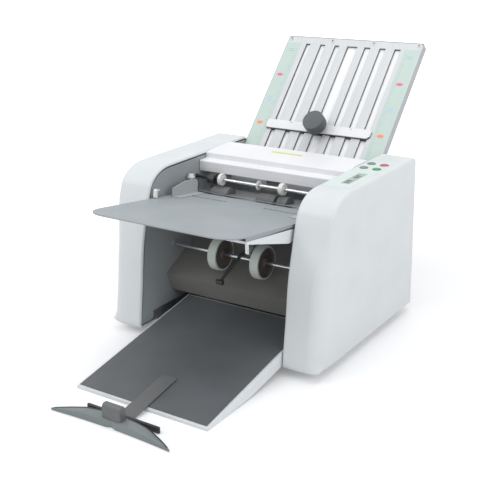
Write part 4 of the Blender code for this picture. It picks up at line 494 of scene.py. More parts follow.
def throughPoints(points, spacing=4 * mm):
    # A smooth line through unevenly spaced points, without the last one
    points = [Vector(p) for p in points]
    steps = [q - p for p, q in zip(points, points[1:])]
    slopes = [steps[0] / steps[0].length]
    for before, after in zip(steps, steps[1:]):
        a, b = before.length, after.length
        slopes.append((before / a * b + after / b * a) / (a + b))
    slopes.append(steps[-1] / steps[-1].length)
    line = []
    for i, step in enumerate(steps):
        between = max(2, round(step.length / spacing))
        for k in range(between):
            t = k / between
            bend = slopes[i] * (t - 2 * t * t + t ** 3) + slopes[i + 1] * (t ** 3 - t * t)
            line.append(points[i] + step * (3 * t * t - 2 * t ** 3) + bend * step.length)
    return line


def coverStations():
    # Points round the side outline from the toe up, each with the width and depth of the outer rounding there
    c = covers
    toe, side, edge, deep = c["toe"], c["sideRounding"], c["topRounding"], c["footDepth"]
    foot = c["bottom"] + toe
    noseStart = c["top"] - c["noseDrop"]
    stations = [(toe * (1 - math.sin(a)), foot - toe * math.cos(a), side, deep) for a in quarter(4)[:-1]]
    front = [(lean * c["lean"], foot + rise * (noseStart - foot)) for rise, lean in c["leanShares"]]
    for a in map(math.radians, c["noseAngles"]):
        front.append((c["noseBack"] - (c["noseBack"] - c["lean"]) * math.cos(a),
                      noseStart + c["noseDrop"] * math.sin(a)))
    for y, z in throughPoints(front):
        width = side + (edge - side) * eased(z, c["fadeFrom"], c["fadeTo"])
        stations.append((y, z, width, deep + (width - deep) * eased(z, c["footFrom"], c["footTo"])))
    stations.append((*front[-1], edge, edge))
    for a in reversed(quarter(6)):
        back, down = (c["rearCorner"] * (1 - share) for share in (math.cos(a), math.sin(a)))
        stations.append((c["depth"] - back, c["top"] - down, edge, edge))
    stations.append((c["depth"], c["bottom"], edge, edge))
    for step in range(6):
        y = c["footBack"] + (toe * 2 - c["footBack"]) * step / 5
        share = eased(c["footBack"] - y, 0, c["footBack"] - toe * 2)
        stations.append((y, c["bottom"], edge + (side - edge) * share, edge + (deep - edge) * share))
    return stations


def insetLine(line, depths):
    moved = []
    for i, point in enumerate(line):
        here = Vector(point)
        before = (here - Vector(line[i - 1])).normalized()
        after = (Vector(line[(i + 1) % len(line)]) - here).normalized()
        leftBefore, leftAfter = Vector((-before.y, before.x)), Vector((-after.y, after.x))
        moved.append(here - (leftBefore + leftAfter) / (1 + leftBefore.dot(leftAfter)) * depths[i])
    return moved


def coverRings():
    # Lines round the cover, from the rim over the outer rounding to the flat side, and back along the inner
    # skin, which keeps the wall's thickness; the flat side's number is given too
    c = covers
    stations = coverStations()
    line = [Vector((y, z)) for y, z, _, _ in stations]
    rimLine = insetLine(line, [c["rim"]] * len(line))
    sideLine = insetLine(line, [depth for *_, depth in stations])
    rings = []
    for a in reversed(quarter(4)):
        x = c["inner"] + c["rim"] * (1 - math.sin(a))
        rings.append([(x, p.lerp(q, 1 - math.cos(a))) for p, q in zip(line, rimLine)])
    for a in quarter(10):
        rings.append([(c["outer"] - width * (1 - math.sin(a)), p.lerp(q, 1 - math.cos(a)))
                      for p, q, (_, _, width, _) in zip(line, sideLine, stations)])
    flat = len(rings) - 1
    for a in reversed(quarter(6)):
        rings.append([(c["outer"] - width + (width - c["wall"]) * math.sin(a),
                       p.lerp(q, 1 - (1 - c["wall"] / depth) * math.cos(a)))
                      for p, q, (_, _, width, depth) in zip(line, sideLine, stations)])
    inside = c["rim"] - c["wall"]
    for a in quarter(3):
        x, share = c["inner"] + c["rim"] - inside * math.sin(a), (c["rim"] - inside * math.cos(a)) / c["rim"]
        rings.append([(x, p.lerp(q, share)) for p, q in zip(line, rimLine)])
    return rings, flat


def sideCover(node, name, side, openings=()):
    rings, flat = coverRings()
    shape = bmesh.new()
    loops = [[shape.verts.new((side * x, p.x + footY, p.y)) for x, p in ring] for ring in rings]
    for index, near in enumerate(loops):
        far = loops[(index + 1) % len(loops)]
        if index == flat:
            shape.faces.new(near)
            shape.faces.new(far)
            continue
        for i in range(len(near)):
            shape.faces.new((near[i - 1], near[i], far[i], far[i - 1]))
    bmesh.ops.recalc_face_normals(shape, faces=shape.faces[:])
    mesh = bpy.data.meshes.new(name)
    shape.to_mesh(mesh)
    shape.free()
    holder = bpy.data.objects.new(name + "Holder", mesh)
    bpy.context.scene.collection.objects.link(holder)
    cutters = []
    for low, high in openings:
        bpy.ops.mesh.primitive_cube_add(size=1, location=[(a + b) / 2 for a, b in zip(low, high)])
        cutter = bpy.context.object
        cutter.scale = [b - a for a, b in zip(low, high)]
        cutters.append(cutter)
        holder.modifiers.new("opening", "BOOLEAN").object = cutter
    made = plainMesh(holder)
    for spare in [holder, *cutters]:
        bpy.data.objects.remove(spare)
    finishedMesh(name, made, coverAbs, node=node, smooth=28)


sideCover("left_cover", "leftCover", -1)
sideCover("right_cover", "rightCover", 1, covers["openings"])
print("covers made")


# Lid: the CAD shell cut short of its pivots and widened up to the right cover, on two arms

lid = {
    "rear": 0.199, "wall": 3 * mm, "left": -0.1727, "right": 0.1720, "endWall": 10 * mm, "play": 0.5 * mm,
    "armFront": 0.184, "armFoot": 0.3265, "armTop": 0.3395, "armEnd": 4.5 * mm, "pivotY": 0.24751,
    "pivotZ": 0.331, "pin": 3 * mm, "pinEnd": 0.178, "stripe": (-0.040, 0.1600, 0.036, 0.1715),
}


def liftingLid():
    rear, wall, foot = lid["rear"], lid["wall"], lid["armFoot"]
    shape = nodeShape("top_cover")
    cut = bmesh.ops.bisect_plane(shape, geom=shape.verts[:] + shape.edges[:] + shape.faces[:],
                                 plane_co=(0, rear, 0), plane_no=(0, 1, 0), clear_outer=True)
    bmesh.ops.holes_fill(shape, edges=[e for e in cut["geom_cut"] if isinstance(e, bmesh.types.BMEdge)])
    bmesh.ops.recalc_face_normals(shape, faces=shape.faces[:])
    end = max(v.co.x for v in shape.verts)
    for v in shape.verts:
        if v.co.x > end - lid["endWall"]:
            v.co.x += lid["right"] - end
    finished("liftingLid", shape, lidAbs, node="top_cover", bevel=0.7 * mm, segments=3)
    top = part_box("top_cover")[1].z
    under = top - 0.6 * mm
    shelf = sheetOf([(rear - wall, foot), (rear, foot), (rear, under), (rear - wall, under)],
                    lid["left"] + lid["play"], lid["right"] - lid["play"])
    finished("lidRearWall", shelf, lidAbs, body="lid", plane=sidePlane, bevel=0.5 * mm)
    for label, near, side in (("left", lid["left"], -1), ("right", lid["right"] - wall, 1)):
        arm = [(lid["armFront"], lid["armTop"]), (lid["armFront"], foot + 1 * mm)]
        for step in range(9):
            a = math.pi * (step / 8 - 0.5)
            arm.append((lid["pivotY"] + lid["armEnd"] * math.cos(a),
                        lid["pivotZ"] + lid["armEnd"] * math.sin(a)))
        finished(label + "LidArm", sheetOf(arm, near, near + wall), framePaint, body="lid", plane=sidePlane,
                 bevel=0.4 * mm)
        first, last = near + wall / 2, side * lid["pinEnd"]
        pin = [(0, first), (lid["pin"], first), (lid["pin"], last), (0, last)]
        finished(label + "LidPin", lathe(pin, "X", (0, lid["pivotY"], lid["pivotZ"]), 24), shaftSteel,
                 body="lid")
    line = sheetOf(roundedBox(*lid["stripe"], 2 * mm), top - 0.05 * mm, top + 0.08 * mm)
    finished("lidStripe", line, inkLime, body="lid")


liftingLid()
print("lid made")


# Panels and plates kept from the CAD, with their edges broken

dressed("rear_cover", "rearPanel", coverAbs, 0.4 * mm)
dressed("table_skirt", "tableSkirt", skirtAbs, 0.8 * mm, 3)
dressed("feed_table", "feedTable", tableAbs, 0.5 * mm)
dressed("left_side_frame", "leftSideFrame", framePaint, 0.25 * mm, 1)
dressed("right_side_frame", "rightSideFrame", framePaint, 0.25 * mm, 1)
dressed("exit_plate", "exitPlate", bayPaint, 0.2 * mm, 1)
dressed("throat_plate", "throatPlate", zinc, 0.2 * mm, 1)
dressed("left_paper_guide", "leftPaperGuide", guideAbs, 0.4 * mm)
dressed("right_paper_guide", "rightPaperGuide", guideAbs, 0.4 * mm)
dressed("release_lever", "releaseLever", acetal, 0.5 * mm)
dressed("delivery_tray", "deliveryTray", skirtAbs, 0.6 * mm, 3)
dressed("tray_mat", "trayMat", matAbs, 0.4 * mm)
dressed("power_inlet", "powerInlet", blackAbs, 0.3 * mm)
dressed("power_switch", "powerRocker", blackAbs, 0.4 * mm)
dressed("separator_pad", "separatorPad", tyreRubber, 0.3 * mm)
dressed("finger_tie_rod", "fingerTieRod", shaftSteel, 0.3 * mm)
dressed("hold_down_finger", "holdDownFinger", blackAbs, 0.2 * mm, smooth=40)
dressed("fold_plate_frame", "foldPlateFrame", edgePaint, 0.4 * mm)
dressed("fold_plate_back", "foldPlateBack", edgePaint, 0.2 * mm, 1)
dressed("fold_plate_face", "foldPlateFace", platePaint, 0.2 * mm, 1)
dressed("base_pan", "basePan", zinc, 0.3 * mm, 1)
for node, material in {
    "control_board": board, "feed_belt": beltRubber, "motor_belt": beltRubber, "stacker_belt": beltRubber,
    "motor": zinc, "motor_pulley": shaftSteel, "lower_gear": acetal, "middle_gear": acetal,
    "rear_gear": acetal, "upper_gear": acetal, "lower_fold_plate": zinc, "lower_stop": lidAbs,
    "table_tie_rod": shaftSteel,
}.items():
    painted(node, material)
for place in ("lower", "middle", "rear", "upper"):
    dressed(place + "_fold_roller", place + "FoldRoller", foldRubber, 0.0)
print("panels dressed")


# Rollers and wheels, turned afresh with fine steps

rollers = {
    "feedY": 0.06851, "feedZ": 0.2623, "pressureZ": 0.2966, "stackerY": -0.01749, "stackerZ": 0.166,
    "shaft": 3.5 * mm, "journal": 4 * mm, "shoulder": 0.1672, "end": 0.1788, "pulley": 14 * mm,
    "feedEnd": -0.196, "stackerEnd": -0.205, "tyre": 19 * mm, "tyreEdge": 0.6 * mm,
    "tyres": ((-0.12456, -0.08304), (-0.00865, 0.03287), (0.03979, 0.06228)),
    "wheels": ((-0.1055, 13 * mm, 7 * mm), (-0.012, 10 * mm, 2 * mm), (0.046, 12.5 * mm, 10 * mm)),
    "bearings": (("left", -0.137, -0.121), ("right", 0.126, 0.137)),
    "bracket": ((0.112, 0.3055), (0.086, 0.3055), (0.074, 0.3045), (0.062, 0.3035), (0.0575, 0.2965),
                (0.0585, 0.2890), (0.066, 0.2855), (0.076, 0.2875), (0.092, 0.2950), (0.112, 0.2985)),
}


def bothFaces(profile, low, high):
    # A wheel's profile from one face in, then the same from its other face
    return [(r, low + depth) for r, depth in profile] + [(r, high - depth) for r, depth in reversed(profile)]


def pulleyEnd(end):
    # A shaft's left end with its belt pulley
    thin, wide = rollers["journal"], rollers["pulley"]
    return [(thin, end), (thin, end + 1 * mm), (wide, end + 1 * mm), (wide, end + 7 * mm),
            (thin, end + 7 * mm)]


def pressureRollers():
    r = rollers
    shaft, journal, shoulder, edgeShare = r["shaft"], r["journal"], r["shoulder"], 1 / 9
    profile = [(journal, -r["end"]), (journal, -shoulder), (shaft, -shoulder)]
    for x, radius, width in r["wheels"]:
        edge = width * edgeShare
        side = [(shaft, 0), (radius * 0.42, 0), (radius * 0.46, edge / 2), (radius - 2 * edge, edge / 2),
                (radius - edge, 0), (radius - edge * 0.3, edge * 0.3), (radius, edge)]
        profile += bothFaces(side, x - width / 2, x + width / 2)
    profile += [(shaft, shoulder), (journal, shoulder), (journal, r["end"])]
    shape = lathe(profile, "X", (0, r["feedY"], r["pressureZ"]), 48)
    # The journal left of the left bracket gets the black material: painted shade for the shadow under the
    # lid's lip
    for face in shape.faces:
        middle = face.calc_center_median()
        if math.hypot(middle.y - r["feedY"], middle.z - r["pressureZ"]) < journal + 0.2 * mm:
            face.material_index = 2 if middle.x < r["bearings"][0][1] else 1
    finished("pressureRollers", shape, [acetal, shaftSteel, blackAbs], node="pressure_rollers")
    # black bearing brackets carry the shaft from under the lid's lip
    for label, near, far in r["bearings"]:
        finished(label + "ShaftBracket", sheetOf(r["bracket"], near, far), blackAbs, body="chassis",
                 plane=sidePlane, bevel=0.8 * mm)


def feedRoller():
    r = rollers
    profile = pulleyEnd(r["feedEnd"])
    for low, high in r["tyres"]:
        side = [(r["journal"], 0), (r["tyre"] - r["tyreEdge"], 0), (r["tyre"], r["tyreEdge"])]
        profile += bothFaces(side, low, high)
    profile.append((r["journal"], r["end"]))
    shape = lathe(profile, "X", (0, r["feedY"], r["feedZ"]), 48)
    for face in shape.faces:
        middle = face.calc_center_median()
        if math.hypot(middle.y - r["feedY"], middle.z - r["feedZ"]) < r["journal"] + 1 * mm:
            face.material_index = 1
    finished("feedRoller", shape, [tyreRubber, shaftSteel], node="feed_roller")


wheel = {"radius": 35 * mm, "half": 10 * mm, "tyre": 4 * mm, "recess": 5 * mm, "hub": 9 * mm, "bore": 4.4 * mm,
         "places": (("stacker_wheel_left", "left", -0.053), ("stacker_wheel_right", "right", 0.050))}


def stackerWheels():
    w, r = wheel, rollers
    rim, half, recess, hub = w["radius"] - w["tyre"], w["half"], w["recess"], w["hub"]
    tyre = bothFaces([(rim, 0), (w["radius"] - 1.4 * mm, 0), (w["radius"] - 0.4 * mm, 0.4 * mm),
                      (w["radius"], 1.4 * mm)], -half, half)
    inner = rim - 0.05 * mm
    disc = bothFaces([(w["bore"], 0), (hub - 0.8 * mm, 0), (hub, 0.8 * mm),
                      (hub + 0.8 * mm, recess - 0.5 * mm), (hub + 2 * mm, recess),
                      (inner - 3 * mm, recess), (inner - 2 * mm, recess - 1 * mm),
                      (inner - 2 * mm, 0.6 * mm), (inner, 0.6 * mm)], -half, half)
    for node, label, x in w["places"]:
        centre = (x, r["stackerY"], r["stackerZ"])
        finished(label + "StackerTyre", lathe([*tyre, tyre[0]], "X", centre, 96), wheelTyre, node=node)
        finished(label + "StackerDisc", lathe([*disc, disc[0]], "X", centre, 64), wheelFace, body="stacker")
    shaft = [*pulleyEnd(r["stackerEnd"]), (r["journal"], r["end"])]
    finished("stackerShaft", lathe(shaft, "X", (0, r["stackerY"], r["stackerZ"]), 40), shaftSteel,
             node="stacker_shaft")


pressureRollers()
feedRoller()
stackerWheels()
print("rollers made")


# Fold plate: raised lands behind its slots, side rails, printed scales, the cross stop and its knob

foldPlate = {
    "half": 0.172, "scaleInner": 0.133, "scaleBottom": 0.020, "scaleTop": 0.322, "film": 0.15 * mm,
    "raised": 0.6 * mm, "screws": (-0.163, -0.053, 0.053, 0.164), "screwUp": 0.3325,
    "slots": ((-0.1145, 0.0110), (-0.0755, 0.0130), (-0.0380, 0.0120), (0.0020, 0.0260), (0.0405, 0.0150),
              (0.0785, 0.0150), (0.1155, 0.0150)),        # middle and width of each
    "slotTail": 0.040, "slotTop": 0.321, "landDepth": 4.8 * mm, "back": 10.1 * mm,
    "railHalf": 0.1740, "railTop": 0.3415, "railDepth": 17 * mm, "railFrom": 0.036, "rail": 3 * mm,
    "corner": 5 * mm,
}
crossStop = {
    "left": -0.1335, "right": 0.1295, "low": 0.0850, "high": 0.1070, "under": 0.7 * mm, "top": 5.5 * mm,
    "chamfer": 7 * mm, "edge": 1.4 * mm, "reach": 4.0 * mm, "play": 1.2 * mm, "rivets": (-0.071, 0.081),
}
clampKnob = {"radius": 24.5 * mm, "neck": 9 * mm, "foot": 5.6 * mm, "body": 16 * mm, "top": 42 * mm,
             "flutes": 36, "depth": 0.4 * mm, "place": (0.002, 0.096, 0)}


def platePieces():
    f = foldPlate
    lands = bmesh.new()
    for centre, width in f["slots"]:
        low, high = centre - width / 2, centre + width / 2
        addShape(lands, sheetOf(roundedBox(low, -f["slotTail"], high, f["slotTop"], 1 * mm, 2), -f["back"],
                                -f["landDepth"]))
    finished("foldPlateLands", lands, landPaint, body="chassis", plane=platePlane, bevel=0.3 * mm, segments=1)
    h, t, r, c = f["railHalf"], f["railTop"], f["rail"], f["corner"]
    rim = [(h, f["railFrom"]), (h, t - c), (h - c * 0.3, t - c * 0.3), (h - c, t), (c - h, t),
           (c * 0.3 - h, t - c * 0.3), (-h, t - c), (-h, f["railFrom"]), (r - h, f["railFrom"]),
           (r - h, t - r), (h - r, t - r), (h - r, f["railFrom"])]
    finished("foldPlateRim", sheetOf(rim, -f["railDepth"], -0.1 * mm), edgePaint, body="chassis",
             plane=platePlane, bevel=0.8 * mm)


def scaleStrips():
    f = foldPlate
    low = f["raised"]
    high = low + f["film"]
    tick = 0.04 * mm
    for label, side in (("left", -1), ("right", 1)):
        x0, x1 = sorted((side * (f["scaleInner"] + 0.4 * mm), side * (f["half"] - 1.4 * mm)))
        y0, y1 = f["scaleBottom"] + 0.4 * mm, f["scaleTop"] - 0.4 * mm
        strip = sheetOf(roundedBox(x0, y0, x1, y1, 2 * mm), low, high)
        finished(label + "ScaleFilm", strip, scaleFilm, body="chassis", plane=platePlane)
        edge = side * (f["scaleInner"] + 5 * mm)
        for kind, pitch, length, count in (("Fine", 5 * mm, 3.5 * mm, 56), ("Long", 25 * mm, 7 * mm, 12)):
            row(label + kind + "Ticks", count, (edge + side * length / 2, 0.030, high + tick / 2),
                (0, pitch, 0), (length, 0.6 * mm, tick), inkGreen, "chassis", platePlane)
        middle = -0.156 if side < 0 else 0.1515
        for colour, pale, dark, up, wide, deep in (
            ("Rose", inkPink, inkRed, 0.230, 9.5 * mm, 5.5 * mm),
            ("Blue", inkBlue, None, 0.163, 8 * mm, 7 * mm),
            ("Orange", inkPeach, inkOrange, 0.097, 9 * mm, 5.5 * mm),
        ):
            spot = sheetOf(ellipse(middle, up, wide, deep), high, high + 0.04 * mm)
            finished(label + colour + "Spot", spot, pale, body="chassis", plane=platePlane)
            if dark:
                core = sheetOf(ellipse(middle, up, wide * 0.72, deep * 0.5), high + 0.04 * mm,
                               high + 0.07 * mm)
                finished(label + colour + "Core", core, dark, body="chassis", plane=platePlane)
        row(label + "TopMark", 2, (side * 0.152, 0.298, high + tick / 2), (0, 5 * mm, 0),
            (13 * mm, 1.0 * mm, tick), inkGreen, "chassis", platePlane)


def crossStopBar():
    s, f = crossStop, foldPlate
    bar = [(s["left"], s["low"] + 3 * mm), (s["left"] + 3 * mm, s["low"]),
           (s["right"] - s["chamfer"], s["low"]), (s["right"], s["low"] + s["chamfer"]),
           (s["right"], s["high"] - 2 * mm), (s["right"] - 2 * mm, s["high"]),
           (s["left"] + 3 * mm, s["high"]), (s["left"], s["high"] - 3 * mm)]
    finished("crossStopBar", sheetOf(bar, s["under"] + 1.2 * mm, s["top"]), lidAbs, node="cross_stop",
             plane=platePlane, bevel=0.8 * mm, segments=3)
    # Black comb: its rim below the bar's lower edge is a painted shadow line; its teeth ride in the slots,
    # black as painted shadow
    comb = sheetOf([(x, y - s["edge"] if y < s["low"] + 8 * mm else y - 2 * mm) for x, y in bar],
                   s["under"], s["under"] + 1.3 * mm)
    near, far = s["low"] - s["edge"] - 1 * mm, s["high"] - 3 * mm
    for centre, width in f["slots"]:
        half = width / 2 - s["play"]
        addShape(comb, sheetOf(roundedBox(centre - half, near, centre + half, far, 0.8 * mm, 2), -s["reach"],
                               s["under"] + 0.1 * mm))
    finished("crossStopCombAndShadowEdge", comb, blackAbs, body="upper_stop", plane=platePlane, bevel=0.2 * mm, segments=1)
    rivets = [(x, s["high"] - 3.5 * mm, s["top"] + 0.2 * mm) for x in s["rivets"]]
    screws("crossStopRivets", rivets, platePlane, 1.8 * mm, 0.8 * mm, "upper_stop", zinc)


def crossStopKnob():
    k = clampKnob
    r, a, b, c = k["radius"], k["foot"], k["body"], k["top"]
    profile = [(0, a), (k["neck"], a), (k["neck"], b - 1 * mm), (r * 0.86, b), (r * 0.95, b + 0.8 * mm),
               (r, b + 2.4 * mm), (r, c - 2.4 * mm), (r * 0.985, c - 1.3 * mm), (r * 0.955, c - 0.5 * mm),
               (r * 0.91, c - 0.1 * mm), (r * 0.87, c - 0.5 * mm), (r * 0.5, c - 0.9 * mm), (0, c - 1.1 * mm)]
    shape = lathe(profile, "Z", (0, 0, 0), 216, k["flutes"], k["depth"], (5, 6))
    finished("crossStopKnob", shape, knobAbs, node="cross_stop_knob",
             plane=platePlane @ Matrix.Translation(k["place"]))


platePieces()
scaleStrips()
crossStopBar()
crossStopKnob()
screws("foldPlateScrews", [(x, foldPlate["screwUp"], 1.0 * mm) for x in foldPlate["screws"]], platePlane,
       3.8 * mm, 2.0 * mm, "chassis", screwSteel)
print("fold plate made")


# Control panel: a film flush with the cover's top, with its lens, keys, their rings and the segments

keys = {
    "radius": 8.8 * mm, "proud": 1.9 * mm, "travel": 0.5 * mm,
    "pieces": (("start_button", "startKey", greenKey), ("stop_button", "stopKey", redKey),
               ("count_up_button", "countUpKey", greyKey), ("count_down_button", "countDownKey", greyKey)),
}
panel = {"plate": (0.1784, 0.0010, 0.2336, 0.2250), "film": (0.1786, -0.0080, 0.2338, 0.1985), "under": 0.3411,
         "plateTop": 0.34412, "top": 0.3443}
display = {"lens": (0.2045, 0.0195, 0.2230, 0.0995), "thick": 0.4 * mm, "bezel": 1.2 * mm, "ink": 0.04 * mm,
           "digits": (0.029, 0.040, 0.067, 0.078)}


def keyCentre(node):
    low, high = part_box(node)
    return (low.x + high.x) / 2, (low.y + high.y) / 2


def keyPiece(node, name, material):
    r, foot = keys["radius"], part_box(node)[0].z
    flange, top = panel["under"] - 3 * mm, panel["top"] + keys["proud"]
    profile = [(0, foot), (r / 2, foot), (r / 2, flange), (r + 1 * mm, flange), (r + 1 * mm, flange + 1 * mm),
               (r, flange + 1.2 * mm), (r, top - 1.2 * mm), (r - 0.3 * mm, top - 0.6 * mm),
               (r - 1.0 * mm, top - 0.15 * mm), (r - 2.2 * mm, top), (r - 4 * mm, top - 0.25 * mm),
               (0, top - 0.5 * mm)]
    finished(name, lathe(profile, "Z", (*keyCentre(node), 0), 64), material, node=node)
    z, inner, outer = panel["top"], r + keys["travel"] + 0.1 * mm, r + 1.7 * mm
    ring = [(inner, z), (outer, z), (outer - 0.3 * mm, z + 0.35 * mm), (inner + 0.3 * mm, z + 0.35 * mm),
            (inner, z)]
    finished(name + "Ring", lathe(ring, "Z", (*keyCentre(node), 0), 64), acetal, body="chassis")


def panelSheets():
    well = keys["radius"] + keys["travel"]
    wells = [ellipse(*keyCentre(node), well, well, 48) for node, _, _ in keys["pieces"]]
    plate = sheetOf(roundedBox(*panel["plate"], 4 * mm), panel["under"], panel["plateTop"], wells)
    finished("controlPanel", plate, coverAbs, node="control_panel")
    film = sheetOf(roundedBox(*panel["film"], 4 * mm), panel["plateTop"] - 0.02 * mm, panel["top"], wells)
    finished("panelFilm", film, panelFilm, body="chassis")


def displayLens():
    # Plain figures of eight under the lens, as an unlit counter shows, read from the machine's side
    z, rim, ink = panel["top"], display["bezel"], display["ink"]
    x0, y0, x1, y1 = display["lens"]
    bezel = sheetOf(roundedBox(x0 - rim, y0 - rim, x1 + rim, y1 + rim, 2 * mm), z - 0.1 * mm, z + 0.2 * mm)
    finished("displayBezel", bezel, panelFilm, node="display_window")
    pane = sheetOf(roundedBox(x0, y0, x1, y1, 1.5 * mm), z, z + display["thick"])
    finished("displayLens", pane, lens, body="chassis", bevel=0.1 * mm)
    top, across = z + display["thick"] + 0.02 * mm, (x0 + x1) / 2
    for index, y in enumerate(display["digits"]):
        for kind, count, start, step, size in (
            ("Levels", 3, (across - 4 * mm, y, top), (4 * mm, 0, 0), (1.8 * mm, 6 * mm, ink)),
            ("Uprights", 2, (across, y - 3 * mm, top), (0, 6 * mm, 0), (9 * mm, 1.8 * mm, ink)),
        ):
            row(f"displayDigit{index}{kind}", count, start, step, size, segmentInk, "chassis")


for node, name, material in keys["pieces"]:
    keyPiece(node, name, material)
panelSheets()
displayLens()
print("panel made")


# Small fittings

feet = {"radius": 13 * mm, "round": 3 * mm,
        "nodes": ("front_left_foot", "front_right_foot", "rear_left_foot", "rear_right_foot")}
knob = {"radius": 8 * mm, "high": 39 * mm, "tier": 4.4 * mm, "stem": 2.5 * mm, "edge": 0.5 * mm,
        "place": (-0.162, 0.329, 0)}
inlet = {"x": 0.212, "y": 0.2637, "z": 0.070, "pin": (2 * mm, 10.5 * mm, 4 * mm),
         "pins": ((-6 * mm, -2.5 * mm), (6 * mm, -2.5 * mm), (0, 3 * mm))}
rearPanel = {"face": 0.2693, "screwX": (-0.162, 0.0, 0.162), "screwZ": (0.036, 0.300)}


def rubberFeet():
    r, edge = feet["radius"], 0.6 * mm
    for node in feet["nodes"]:
        low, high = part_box(node)
        centre, top = ((low.x + high.x) / 2, (low.y + high.y) / 2, 0), high.z
        profile = [(0, 0), (r - 2.4 * mm, 0), (r - 1.2 * mm, 0.5 * mm), (r - 0.4 * mm, 1.4 * mm),
                   (r, feet["round"]), (r, top - edge), (r - edge, top), (0, top)]
        words = node.split("_")
        finished(words[0] + words[1].capitalize() + "Foot", lathe(profile, "Z", centre, 48), footRubber,
                 node=node)


def skewKnob():
    r, h, edge, stem = knob["radius"], knob["high"], knob["edge"], knob["stem"]
    low, step = h - 2 * knob["tier"], h - knob["tier"]
    profile = [(0, 0.3 * mm), (stem, 0.3 * mm), (stem, low), (r - edge, low), (r, low + edge),
               (r, step - edge), (r - edge, step), (r * 0.75, step), (r * 0.74, h - 0.6 * mm),
               (r * 0.66, h), (0, h)]
    finished("skewKnob", lathe(profile, "Z", (0, 0, 0), 48, 12, 0.25 * mm, (4, 5)), acetal, node="skew_knob",
             plane=tablePlane @ Matrix.Translation(knob["place"]))


def inletPins():
    shape = bmesh.new()
    for x, z in inlet["pins"]:
        made = bmesh.ops.create_cube(shape, size=1)["verts"]
        bmesh.ops.scale(shape, verts=made, vec=inlet["pin"])
        bmesh.ops.translate(shape, verts=made, vec=(inlet["x"] + x, inlet["y"], inlet["z"] + z))
    finished("inletPins", shape, shaftSteel, body="chassis", bevel=0.4 * mm)


def rearScrews():
    # heads face the rear, so X is turned about to keep them right side out
    outward = Matrix(((-1, 0, 0, 0), (0, 0, 1, rearPanel["face"]), (0, 1, 0, 0), (0, 0, 0, 1)))
    points = [(x, z, 0) for x in rearPanel["screwX"] for z in rearPanel["screwZ"]]
    screws("rearPanelScrews", points, outward, 3.6 * mm, 1.8 * mm, "chassis", screwSteel)


# Front stop: two wings on the floor, a grip block, a bar behind them and the strap up the tray

wing = {"half": 0.134, "centre": 0.0225, "tip": -0.47349, "front": 6 * mm, "rear": 34 * mm, "height": 13 * mm,
        "lift": 0.8 * mm, "chamfer": 7 * mm, "notch": 4 * mm, "notchShare": 0.085, "endShare": 0.35,
        "steps": 48, "lip": 2.0 * mm, "lipProud": 0.7 * mm, "lipDrop": 1.2 * mm, "lipGap": 0.3 * mm,
        "blockHalf": 21 * mm, "blockHigh": 40 * mm, "blockLong": 22 * mm, "blockFloor": 7.3 * mm,
        "barLeft": 0.080, "barRight": 0.084, "strapHalf": 17 * mm, "strap": (-0.052, 0.0912)}


def wingPoint(share, back, inset, rise):
    w = wing
    dip = 1 - share * share
    if back:
        y = w["tip"] + w["rear"] * dip - 1.2 * mm * inset * dip
    else:
        notch = max(0.0, 1 - abs(share) / w["notchShare"])
        y = (w["tip"] + (w["front"] + w["chamfer"] * inset) * dip
             + w["notch"] * notch * notch * (3 - 2 * notch))
    height = w["height"] * rise * (w["endShare"] + (1 - w["endShare"]) * min(1, 2 * (1 - abs(share))))
    return Vector((w["centre"] + share * w["half"], y, w["lift"] + height))


